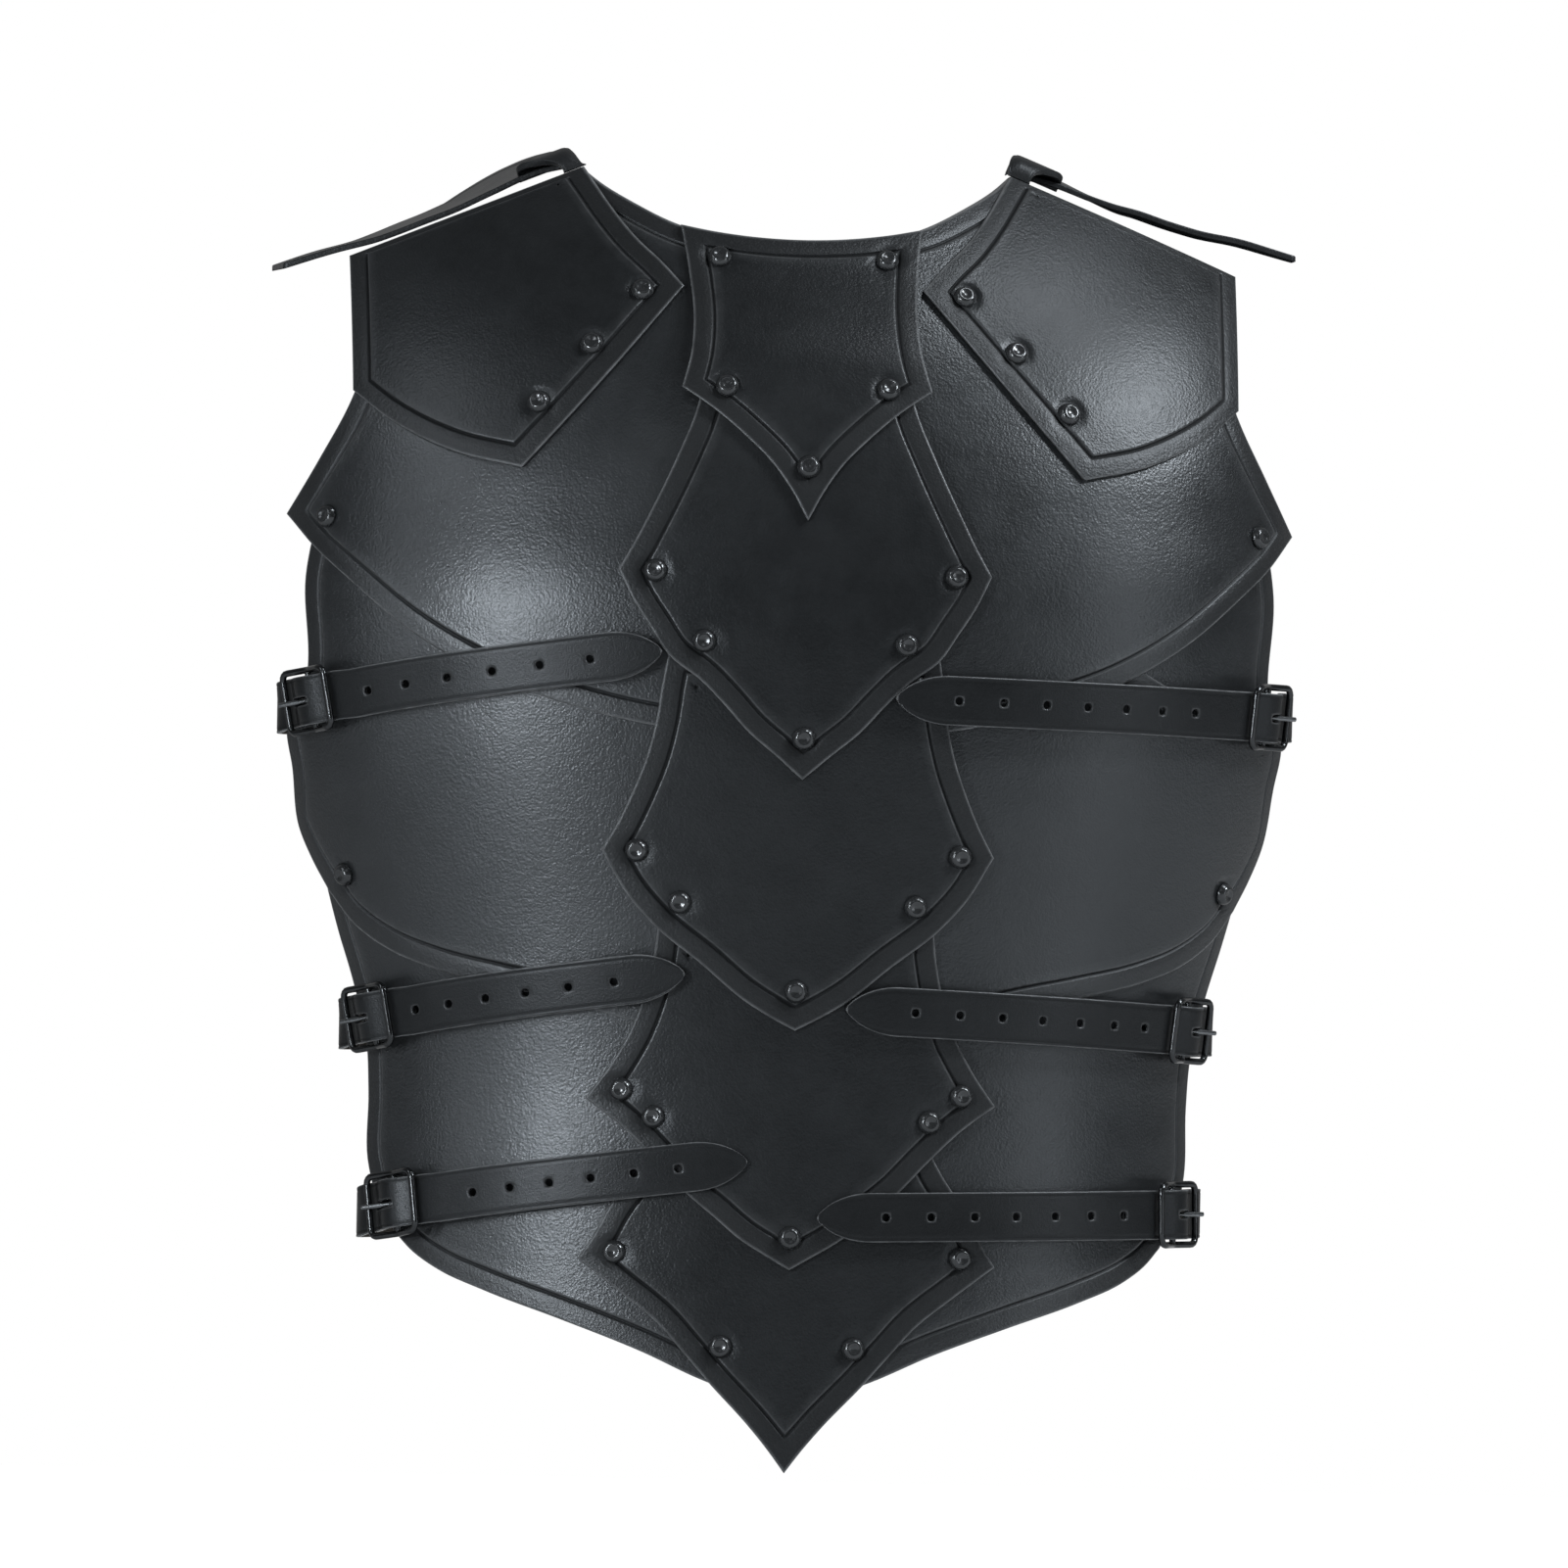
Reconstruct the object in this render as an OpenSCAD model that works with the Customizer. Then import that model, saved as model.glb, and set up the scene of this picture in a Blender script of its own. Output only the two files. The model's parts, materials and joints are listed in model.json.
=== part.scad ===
// Leather chest armour: riveted sheets over a torso form, with three buckled belts.
// Millimetres. X runs across the chest, -Y is the front, +Z is up.
// The origin lies between the shoulders, at the height of the neck corners.

/* [Torso form] */
// Half width of the form at the chest
chest_half_w = 232; // [231:1:240]
// Half width of the form at the waist
waist_half_w = 192; // [190:1:198]
// Depth of the form at the chest, from the side line to the front
chest_depth = 126; // [116:1:136]
// Depth of the form at the waist
waist_depth = 112; // [104:1:120]
// Distance from the side line back to the belts
back_depth = 98; // [88:1:108]
// How far the form leans back at shoulder height
shoulder_lean = 93; // [84:1:98]

/* [Leather] */
// Thickness of the base shell
base_t = 3.2; // [2.8:0.1:3.6]
// Thickness of the pectoral and rib panels
panel_t = 2.8; // [2.4:0.1:3.2]
// Thickness of the centre plates, shoulder plates and shoulder flaps
plate_t = 2.8; // [2.4:0.1:3.2]
// Air between one layer of leather and the next
layer_gap = 0.4; // [0.35:0.05:0.6]

/* [Rivets] */
// Diameter of a rivet cap
cap_d = 10.5; // [9:0.5:13]
// Height of a rivet cap
cap_h = 3; // [2:0.25:4]
// Diameter of a rivet shank
shank_d = 4; // [3:0.25:5]
// Diameter of the washer behind the leather
washer_d = 10; // [8:0.5:12]
// Thickness of the washer
washer_t = 1; // [0.8:0.1:1.4]
// Air between the washer and the leather's curved back
washer_gap = 0.9; // [0.8:0.1:1.2]
// Air round a shank in its hole
shank_clear = 0.25; // [0.15:0.05:0.4]

/* [Belts] */
// Width of a belt
belt_w = 22; // [19:0.5:23]
// Thickness of a belt
belt_t = 2.6; // [2.2:0.1:2.8]
// Diameter of the punched holes
hole_d = 3.5; // [3:0.25:4.5]
// Distance from one punched hole to the next
hole_pitch = 19; // [18:0.5:21]
// Distance from the tip of a tail to its first hole
first_hole = 28; // [28:1:34]
// Length of the tapered tip of a tail
taper_l = 24; // [18:1:28]

/* [Buckles] */
// Diameter of the buckle wire
wire_d = 3; // [2.6:0.1:3.2]
// Distance from the centre bar to each end bar
bar_reach = 15; // [14.5:0.5:17]
// Height of the end bars above the centre bar
end_rise = 3; // [2.8:0.1:3.6]
// Air between an end bar and the belt under it
bar_clear = 1; // [0.9:0.1:1.4]
// Air between a belt's edge and the side bar
side_clear = 1; // [0.8:0.1:1.6]
// Width of a buckle tab
tab_w = 18; // [15:0.5:19]
// Thickness of the tab's leather
tab_t = 1.8; // [1.5:0.1:2]
// Length of a tab from the centre bar to its end
tab_l = 27; // [25:0.5:30]
// Diameter of the tongue's wire
tongue_d = 2.4; // [2:0.1:2.6]

/* [Hidden] */

// Heights of the form: where the lean starts, where the chest ends and where the waist starts
lean_z = -200;
chest_z = -200;
waist_z = -430;

// Offsets of the layers from the form, to the inner face of each
rib_h = base_t + layer_gap;
over_rib_h = rib_h + panel_t + layer_gap;
over_panel_h = over_rib_h + panel_t + layer_gap;
over_plate_h = over_panel_h + plate_t + layer_gap;
top_h = over_plate_h + plate_t + layer_gap;

// Base shell outline: [height, half width] down the side, then [half width, height] along the edges
base_side = [[-45, 194], [-108, 195], [-140, 204], [-172, 215], [-190, 217.8], [-227, 216],
             [-262, 217], [-303, 210], [-347, 199], [-370, 192], [-398, 185.4], [-420, 184],
             [-452, 183.5], [-470, 179], [-483, 172]];
neck_and_crest = [[0, -38], [20, -37], [55, -30], [75, -20], [90, -10.5], [97, -4.5], [194, -44]];
hem_edge = [[0, -557], [37, -546], [65, -533.6], [101, -520], [134, -508], [154, -499], [165, -491],
            [172, -483]];

// Pectoral panel outline
pec_side = [[-45, 193], [-100, 196], [-112, 200.5], [-137, 213], [-163, 226.7]];
pec_inner_x = 26;
pec_edge = [[pec_inner_x, -259], [70, -255], [105, -247], [147, -232], [177, -214], [203, -191], [214, -180],
            [226.7, -163]];

// Rib panel outline
rib_side = [[-236, 219], [-258, 224], [-276, 221], [-303, 216.7], [-317, 211], [-331.4, 203.6]];
rib_corner_z = rib_side[len(rib_side) - 1][0];
rib_inner_x = 50;
rib_top = [[rib_inner_x, -236], [100, -224], [147, -222], [172, -234], [219, -236]];
rib_edge = [[rib_inner_x, -390], [75, -386], [100, -379], [130, -372.5], [160, -365], [178, -357.4],
            [193, -346], [203.6, -331.4]];

// Shoulder plate outline
shoulder_inner_x = 54.4;
shoulder_outer_x = 200.5;
shoulder_top = [[shoulder_inner_x, -57.9], [64, -47.5], [74.7, -37], [84, -25], [92, -12.4],
                [97, -4.5], [shoulder_outer_x, -46.5]];
shoulder_edge = [[shoulder_inner_x, -58.9], [90, -99.4], [128, -141.6], [158, -134.6],
                 [187, -119.3], [shoulder_outer_x, -107.7]];
shoulder_xs = [shoulder_inner_x, 64, 74.7, 84, 92, 97, 107, 117, 128, 142, 158, 172, 187,
               shoulder_outer_x];

// Centre plate outlines: [height, half width] from the top edge to the tip
collar_side = [[-30.4, 54.8], [-50, 52.2], [-71, 51.1], [-88, 53], [-104.3, 57.5], [-114.3, 42.6],
               [-126, 28.5], [-137.5, 16.7], [-150, 7.5], [-163, 0.6]];
breast_side = [[-100, 46.5], [-115, 50.8], [-135, 59.2], [-161, 71.7], [-175, 79], [-186.2, 85.6],
               [-201, 78.3], [-212, 71], [-224, 62.7], [-235.5, 47.3], [-246, 36.5], [-257.6, 25.5],
               [-268, 12.5], [-278.2, 0.6]];
midriff_side = [[-222, 62], [-237, 64.6], [-253.5, 66.9], [-270, 71], [-284, 76.3], [-298, 82.6],
                [-311, 89.8], [-330.5, 77.9], [-344.6, 64.9], [-361, 43.5], [-377, 23.4],
                [-384, 11.5], [-389.5, 0.6]];
waist_side = [[-341, 62.5], [-358, 64.5], [-376, 68.5], [-390, 73.5], [-407, 83], [-421.5, 93.5],
              [-433.5, 77.2], [-448, 62], [-462.3, 48.1], [-473, 35], [-483.5, 22], [-490, 11],
              [-496, 0.6]];
hem_side = [[-425, 58], [-440, 62.5], [-452, 69], [-468, 80], [-483.5, 88.3], [-493, 94.6],
            [-507, 76], [-521.2, 58.1], [-534, 46.5], [-546.2, 35.6], [-566.5, 16.1], [-576, 8],
            [-586.2, 0.6]];
collar_dip = 6;

// Rivet places on the right half, as [across, height]; one on the centre line stands alone
collar_spots = [[38, -45], [37, -103.5], [0, -139.1]];
breast_spots = [[69, -186.6], [46.6, -217.6], [0, -260.1]];
midriff_spots = [[74, -311], [54, -333.8], [0, -372.4]];
waist_spots = [[77.4, -417.3], [62.9, -429.2], [0, -481.9]];
hem_spots = [[78.3, -489.5], [30.1, -530.8]];
shoulder_spots = [[73.1, -60.6], [96.4, -85.4], [120.4, -112.1]];
pec_spot = [210.2, -164.1];
rib_spot = [198, -323.7];

// How far a shank is peened out past its washer
shank_end = 0.4;

// Belts and buckles, chest first: height, angle round the form of the left and right tab, and the
// layer under them
belt_z = [-243.5, -384, -468];
tab_angle = [[58.5, 57.8], [58.2, 56.5], [53.5, 56]];
seat_h = [over_rib_h, rib_h, rib_h];
// Slope of each tail towards the chest's middle, and where its tip ends, left and right
tail_slope = [[8.5, 1.1], [8.4, 2], [7.7, -1.7]];
tip_x = [[65, 42], [50, 23], [20, 12]];
hole_count = [[6, 7], [6, 7], [7, 7]];
// How far each tail's first hole and hole pitch differ from the common ones
first_shift = [[0, -3], [0, 0], [0, 0]];
pitch_shift = [[1.5, -0.4], [-0.2, -0.2], [-0.7, 0]];
// Height of each tail's underside at its tip, above the form
tip_h = [top_h + 0.4, over_plate_h + 0.4, over_panel_h + 0.4];
// How far the back of a belt hangs below its buckles, and the bend behind each buckle
back_drop = 4;
back_bend_r = 14;

// Buckle section: the tab's loop round the centre bar, and the belt's path over and under the bars
bar_fit = 0.25;
loop_r = wire_d / 2 + bar_fit + tab_t;
bar_h = loop_r + 2.05;
over_bar = loop_r + 0.45 + belt_t / 2;
under_bar = end_rise - wire_d / 2 - bar_clear - belt_t / 2;
frame_half_w = belt_w / 2 + side_clear + wire_d / 2;
frame_corner_r = 3.5;
zone = bar_reach + 5;
slot_w = tongue_d + 1.2;
slot_from = -bar_reach + 4;
slot_to = 1.5;
eye_r = loop_r - 0.15;
eye_w = tongue_d + 0.4;
// Air between a resting tongue and the end bar, and how far its tip reaches past that bar
tongue_rest = 0.15;
tongue_past = 1.6;
tab_rivet_at = 20.5;
tab_middle = 15;
// Angle by which the belt's pull turns a buckle away from its tab
buckle_turn = 14;
tab_cap_d = 8;
tab_cap_h = 1.2;
tab_washer_gap = 1.3;
// Underside of a tab's legs, just clear of the layer under it
leg_floor = -bar_h + 0.3;

// Shoulder flap: a lobe that stands back from the crest, level with the line of sight
flap_front = [[98, -4.2], [115.5, -8.5], [134, -17], [156, -27], [182.5, -35], [203.4, -39.6],
              [227.6, -48]];
flap_depth = [[98, 62], [128, 92], [150, 108], [176, 96], [206, 72], [227.6, 40]];
flap_rise = [[98, 0.09], [130, 0.085], [160, 0.03], [228, 0.02]];
flap_xs = [98, 107, 115.5, 124, 134, 142, 150, 160, 171, 182.5, 193, 203.4, 216, 227.6];
// Distance from the crest's inner face back to the flap, and how far the flap's outer corner sits back
flap_gap = 2;
flap_sweep = 0.12;
// Rolled neck corner that joins the shoulder plate to the flap: place and width of the roll, and how
// far it starts from the line of the crest
curl_x = 104.5;
curl_w = 13;
roll_gap = -0.1;
// Directions along the crest's slope and square to it
crest_along = [cos(22.1), 0, -sin(22.1)];
crest_up = [sin(22.1), 0, cos(22.1)];

function unit(v) = v / norm(v);
function ease(t) = (1 - cos(180 * min(1, max(0, t)))) / 2;

// Form: half width, depth and lean at a height
function to_waist(z) = ease((chest_z - z) / (chest_z - waist_z));
function half_w(z) = chest_half_w + (waist_half_w - chest_half_w) * to_waist(z);
function depth(z) = chest_depth + (waist_depth - chest_depth) * to_waist(z);
function lean(z) = shoulder_lean * pow(max(0, (z - lean_z) / -lean_z), 2.2);
function lean_rate(z) = (lean(z + 0.5) - lean(z - 0.5));

// Angle round the form of a point at a distance x from the middle, at an offset h
function ang(x, z, h = 0) = asin(min(0.985, x / (half_w(z) + h)));

// Point on the form at an angle and a height, moved out by h
function flat_out(a, z) = unit([depth(z) * sin(a), -half_w(z) * cos(a)]);
function spread(a, z, h) = h * (1 + (sqrt(1 + pow(lean_rate(z), 2)) - 1) * cos(a));
function on(a, z, h) =
  let (n = flat_out(a, z), g = spread(a, z, h))
  [half_w(z) * sin(a) + g * n.x, -depth(z) * cos(a) + lean(z) + g * n.y, z];
// Height of a point over the form's front, from the level line through it
function height_over(p) =
  let (w = half_w(p.z), d = depth(p.z), y = p.y - lean(p.z), f = norm([p.x / w, y / d]))
  (f - 1) * f / norm([p.x / w / w, y / d / d]);
function up_at(a, z, h) = unit(on(a, z + 1, h) - on(a, z - 1, h));
function across_at(a, z, h) = unit(on(a + 0.5, z, h) - on(a - 0.5, z, h));
function out_at(a, z) = unit(cross(across_at(a, z, 0), up_at(a, z, 0)));

// Closed sheet between an outer and an inner grid of points, rows downwards, columns to the right;
// the first columns, as many as left says, lie on the left half and are split the other way
module sheet(outer, inner, left = 0) {
  rows = len(outer);
  cols = len(outer[0]);
  back = rows * cols;
  at = function (r, c) r * cols + c;
  points = concat([for (row = outer) each row], [for (row = inner) each row]);
  faces = concat(
    [for (r = [0 : rows - 2], c = [0 : cols - 2])
      let (a = at(r, c), b = at(r, c + 1), d = at(r + 1, c + 1), e = at(r + 1, c))
      each c < left
        ? [[a, b, e], [b, d, e], [back + a, back + e, back + b], [back + b, back + e, back + d]]
        : [[a, b, d], [a, d, e], [back + a, back + d, back + b], [back + a, back + e, back + d]]],
    [for (c = [0 : cols - 2]) each [
      [at(0, c), back + at(0, c), back + at(0, c + 1)],
      [at(0, c), back + at(0, c + 1), at(0, c + 1)],
      [at(rows - 1, c), at(rows - 1, c + 1), back + at(rows - 1, c + 1)],
      [at(rows - 1, c), back + at(rows - 1, c + 1), back + at(rows - 1, c)]]],
    [for (r = [0 : rows - 2]) each [
      [at(r, 0), at(r + 1, 0), back + at(r + 1, 0)],
      [at(r, 0), back + at(r + 1, 0), back + at(r, 0)],
      [at(r + 1, cols - 1), at(r, cols - 1), back + at(r, cols - 1)],
      [at(r + 1, cols - 1), back + at(r, cols - 1), back + at(r + 1, cols - 1)]]]);
  polyhedron(points = points, faces = faces, convexity = 8);
}

// Height where a column meets an edge line, found by stepping to and fro between the two
function settle(edge, x_of, z, n = 4) = n == 0 ? z : settle(edge, x_of, edge(x_of(z)), n - 1);

// Panel whose columns run from a top line to a bottom line: u is 0 at its inner side, 1 at its outer
module panel(us, rows, inner_a, outer_a, top, bottom, h, t) {
  a_of = function (u, z) inner_a(z) + u * (outer_a(z) - inner_a(z));
  x_of = function (u, z) (half_w(z) + h(z) + t) * sin(abs(a_of(u, z)));
  z_top = [for (u = us) settle(top, function (z) x_of(u, z), top(x_of(u, -60)))];
  z_low = [for (u = us) settle(bottom, function (z) x_of(u, z), bottom(x_of(u, -300)))];
  z_at = function (r, c) z_top[c] + (z_low[c] - z_top[c]) * r / rows;
  grid = function (lift) [for (r = [0 : rows]) [for (c = [0 : len(us) - 1])
    let (z = z_at(r, c)) on(a_of(us[c], z), z, h(z) + lift)]];
  sheet(grid(t), grid(0), left = len([for (u = us) if (u < 0) u]));
}

// Places the children at a spot on a face, with Z out of the face and 0 on it
module on_face(spot, face) {
  x = spot[0];
  z = spot[1];
  a = ang(x, z, face(z));
  across = on(a + 0.5, z, face(z)) - on(a - 0.5, z, face(z));
  up = on(a, z + 0.5, face(z + 0.5)) - on(a, z - 0.5, face(z - 0.5));
  n = unit(cross(across, up));
  translate(on(a, z, face(z))) rotate([0, acos(n.z), atan2(n.y, n.x)]) children();
}

// Bores for a group of rivets on the right half and, with both, on the left half
module bores(group, both = false) {
  for (spot = group[0]) {
    on_face(spot, group[1]) bore();
    if (both && spot[0] > 0) mirror([1, 0, 0]) on_face(spot, group[1]) bore();
  }
}

module bore() {
  translate([0, 0, -24]) cylinder(d = shank_d + 2 * shank_clear, h = 30, $fn = 32);
}

// Rivet through leather of a height h in all: cap, shank and washer
module rivet(h) {
  dome_seat = 0.1;
  translate([0, 0, dome_seat]) dome(cap_d, cap_h);
  translate([0, 0, -h - washer_gap - washer_t - shank_end])
    cylinder(d = shank_d, h = h + washer_gap + washer_t + shank_end + cap_h / 2, $fn = 32);
  translate([0, 0, -h - washer_gap - washer_t]) cylinder(d = washer_d, h = washer_t, $fn = 32);
}

// Low domed cap: a short rim with a part of a ball on it
module dome(d, h) {
  rim = h * 0.25;
  rise = h - rim;
  ball_r = (pow(d / 2, 2) + rise * rise) / (2 * rise);
  cylinder(d = d, h = rim, $fn = 48);
  intersection() {
    translate([0, 0, h - ball_r]) sphere(r = ball_r, $fn = 96);
    translate([0, 0, rim - 0.01]) cylinder(d = d, h = h, $fn = 48);
  }
}

module rivets(group, sides = [-1, 1]) {
  color("#1b1c1e")
  for (spot = group[0], s = sides)
    if (spot[0] > 0 || s == 1)
      mirror([s < 0 ? 1 : 0, 0, 0]) on_face(spot, group[1]) rivet(group[1](spot[1]));
}

// Heights where a sheet starts to rise over the one below it, and how far down that takes
pec_step = [-150, 60];
collar_step = [-48, 46];
breast_step = [-163, 58];
function step_down(z, step) = ease((step[0] - z) / step[1]);

// Offsets of the inner face of each layer, by height
function pec_h(z) = rib_h + (over_rib_h - rib_h) * step_down(z, pec_step);
function collar_h(z) = over_rib_h + (over_plate_h - over_rib_h) * step_down(z, collar_step);
function breast_h(z) = over_panel_h + (over_plate_h - over_panel_h) * step_down(z, breast_step);
function midriff_h(z) = over_panel_h;
function waist_h(z) = over_rib_h;
function hem_h(z) = rib_h;
function shoulder_h(z) = over_rib_h;

// Rivet groups: their spots and the outer face that their caps sit on
collar_group = [collar_spots, function (z) collar_h(z) + plate_t];
breast_group = [breast_spots, function (z) breast_h(z) + plate_t];
midriff_group = [midriff_spots, function (z) midriff_h(z) + plate_t];
waist_group = [waist_spots, function (z) waist_h(z) + plate_t];
hem_group = [hem_spots, function (z) hem_h(z) + plate_t];
shoulder_group = [shoulder_spots, function (z) shoulder_h(z) + plate_t];
pec_group = [[pec_spot], function (z) pec_h(z) + panel_t];
rib_group = [[rib_spot], function (z) rib_h + panel_t];
every_group = [collar_group, breast_group, midriff_group, waist_group, hem_group, shoulder_group,
               pec_group, rib_group];

// Columns spread evenly from first to last
function even(first, last, n) = [for (i = [0 : n]) first + (last - first) * i / n];

module base_shell() {
  color("#26282b")
  difference() {
    panel(even(-1, 1, 36), 30,
          function (z) 0,
          function (z) ang(lookup(z, base_side), z, base_t),
          function (x) lookup(x, neck_and_crest),
          function (x) lookup(x, hem_edge),
          function (z) 0, base_t);
    for (group = every_group) bores(group, both = true);
    for (k = [0 : 2], s = [0, 1]) at_tab(k, s) tab_bore();
  }
}

module pectoral() {
  color("#2b2d30")
  difference() {
    panel(even(0, 1, 13), 13,
          function (z) ang(pec_inner_x, z, pec_h(z) + panel_t),
          function (z) ang(lookup(z, pec_side), z, pec_h(z) + panel_t),
          function (x) lookup(x, neck_and_crest) - 0.5,
          function (x) lookup(x, pec_edge),
          function (z) pec_h(z), panel_t);
    for (group = [collar_group, breast_group, shoulder_group, pec_group]) bores(group);
  }
}

module rib_panel(side) {
  color("#2b2d30")
  difference() {
    panel(even(0, 1, 13), 12,
          function (z) ang(rib_inner_x, z, rib_h + panel_t),
          function (z) ang(lookup(z, rib_side), max(z, rib_corner_z), rib_h + panel_t),
          function (x) lookup(x, rib_top),
          function (x) lookup(x, rib_edge),
          function (z) rib_h, panel_t);
    for (group = [midriff_group, rib_group]) bores(group);
    mirror([1 - side, 0, 0]) at_tab(0, side) tab_bore();
  }
}

module shoulder_plate() {
  h = over_rib_h;
  first = ang(shoulder_inner_x, -60, h + plate_t);
  last = ang(shoulder_outer_x, -60, h + plate_t);
  color("#232528")
  difference() {
    panel([for (x = shoulder_xs) (ang(x, -60, h + plate_t) - first) / (last - first)], 8,
          function (z) ang(shoulder_inner_x, z, h + plate_t),
          function (z) ang(shoulder_outer_x, z, h + plate_t),
          function (x) lookup(x, shoulder_top),
          function (x) lookup(x, shoulder_edge),
          function (z) h, plate_t);
    bores(shoulder_group);
  }
}

// Centre plate: rows across the chest, each as wide as the outline at its height
module centre_plate(side, h_at, groups, dip = 0) {
  z_first = side[0][0];
  z_last = side[len(side) - 1][0];
  // Heights: every point of the outline, with one more between two that lie far apart
  zs = [for (i = [0 : len(side) - 1]) each
    i > 0 && side[i - 1][0] - side[i][0] > 15
      ? [(side[i - 1][0] + side[i][0]) / 2, side[i][0]] : [side[i][0]]];
  fade = function (z) pow(max(0, 1 - (z_first - z) / 40), 2);
  point = function (z, u, lift)
    let (w = lookup(z, side), zz = z - dip * (1 - u * u) * fade(z))
    on(u * ang(w, z, h_at(z) + plate_t), zz, h_at(zz) + lift);
  grid = function (lift) [for (z = zs) [for (u = even(-1, 1, 10)) point(z, u, lift)]];
  color("#1d1e20")
  difference() {
    sheet(grid(plate_t), grid(0), left = 5);
    for (group = groups) bores(group, both = true);
  }
}

module collar_plate() {
  centre_plate(collar_side, function (z) collar_h(z), [collar_group], collar_dip);
}

module breast_plate() {
  centre_plate(breast_side, function (z) breast_h(z), [breast_group, collar_group]);
}

module midriff_plate() {
  centre_plate(midriff_side, function (z) midriff_h(z), [midriff_group, breast_group]);
}

module waist_plate() {
  centre_plate(waist_side, function (z) waist_h(z), [waist_group, midriff_group]);
}

module hem_plate() {
  centre_plate(hem_side, function (z) hem_h(z), [hem_group, waist_group]);
}

// Shoulder flap: a lobe level with the line of sight, with a rolled corner at the neck
module shoulder_flap() {
  crest_z = lookup(curl_x, shoulder_top);
  crest_a = ang(curl_x, crest_z);
  inner = on(crest_a, crest_z, 0);
  start_y = inner.y + flap_gap;
  front_y = function (x) start_y + flap_sweep * (x - curl_x);
  point = function (x, v, lift)
    let (y = v * lookup(x, flap_depth))
    [x + y * 0.06, front_y(x) + y, lookup(x, flap_front) + lookup(x, flap_rise) * y + lift];
  grid = function (lift) [for (v = [1, 0.8, 0.6, 0.4, 0.2, 0]) [for (x = flap_xs) point(x, v, lift)]];
  // Roll: square to the crest, up from the plate's top edge and over, then down onto the flap
  edge = on(crest_a, crest_z, over_rib_h + plate_t / 2);
  roll = [[0, roll_gap], [0.4, 3.2], [1.8, 5.8], [4.2, 7.8], [7.6, 9], [11, 9.5],
          [start_y + 1 - edge.y, 9], [start_y + 4.5 - edge.y, 7.6], [start_y + 7.5 - edge.y, 5.6],
          [start_y + 9.5 - edge.y, 3.8]];
  color("#232528") {
    sheet(grid(plate_t), grid(0));
    strip([for (p = roll)
      [[curl_x, edge.y + p[0], crest_z] + p[1] * crest_up, crest_along, curl_w / 2]], plate_t);
  }
}

// Own axes of a tab: its leg lies level with the form at its middle
function tab_out(k, s) = out_at(tab_angle[k][s], belt_z[k]);
// Direction along the tab towards the chest's middle, and across it upwards
function tab_t_dir(k, s) =
  let (level = -across_at(tab_angle[k][s], belt_z[k], 0), up = cross(level, tab_out(k, s)),
       a = tail_slope[k][s])
  unit(cos(a) * level + sin(a) * up * (up.z > 0 ? 1 : -1));
function buckle_centre(k, s) = on(tab_angle[k][s], belt_z[k], seat_h[k]) + bar_h * tab_out(k, s)
  - tab_middle * tab_t_dir(k, s);
// Own axes of a buckle: along the belt to the chest's middle, out of the belt and across it
function buckle_t(k, s) = cos(buckle_turn) * tab_t_dir(k, s) + sin(buckle_turn) * tab_out(k, s);
function buckle_out(k, s) = cos(buckle_turn) * tab_out(k, s) - sin(buckle_turn) * tab_t_dir(k, s);
function buckle_w(k, s) = let (w = cross(buckle_out(k, s), buckle_t(k, s))) w.z > 0 ? w : -w;

// Arc length round the form from one angle to another, at a height
function arc(a, b, z, n = 12) =
  let (st = (b - a) / n)
  sum([for (i = [0 : n - 1]) norm(on(a + st * (i + 1), z, 6) - on(a + st * i, z, 6))]);
function sum(v, i = 0) = i >= len(v) ? 0 : v[i] + sum(v, i + 1);

function belt_lift(s) = abs(s) >= bar_reach ? under_bar
  : under_bar + (over_bar - under_bar) * (1 + cos(180 * s / bar_reach)) / 2;

// One half of a belt as [centre, across direction, half width] rings, for the right side of the chest
function tail_rings(k, s) =
  let (zb = belt_z[k],
       start = tail_start(k, s),
       h0 = height_over(start),
       a0 = ang(start.x, zb, h0),
       a1 = ang(tip_x[k][s], zb, tip_h[k]),
       total = arc(a1, a0, zb),
       h1 = tip_h[k] + belt_t / 2,
       ds = [0.5, 2, 5, 9, 14, 19, taper_l, taper_l + 12])
  concat(
    [for (d = ds) tail_ring(k, s, a1, a0, d / total, total, h0, h1, start.z, d)],
    [for (i = [3 : 10]) let (f = i / 10)
      if (f * total > taper_l + 18) tail_ring(k, s, a1, a0, f, total, h0, h1, start.z, f * total)]);
function tail_start(k, s) =
  buckle_centre(k, s) + zone * buckle_t(k, s) + (under_bar - 0.5) * buckle_out(k, s);
function tail_ring(k, s, a1, a0, f, total, h0, h1, z0, d) =
  let (a = a1 + (a0 - a1) * f,
       z = z0 + tan(tail_slope[k][s]) * total * (1 - f),
       h = h1 + (h0 - h1) * f)
  [on(a, z, h), up_at(a, z, 0),
   d >= taper_l ? belt_w / 2 : belt_w / 2 * pow(1 - pow(1 - d / taper_l, 2), 0.7)];
function buckle_rings(k, s) =
  [for (p = [bar_reach, 12.5, 10, 7.5, 5, 2.5, 0, -2.5, -5, -7.5, -10, -12.5, -bar_reach, -zone])
    [buckle_centre(k, s) + p * buckle_t(k, s) + belt_lift(p) * buckle_out(k, s),
     buckle_w(k, s), belt_w / 2]];
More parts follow.
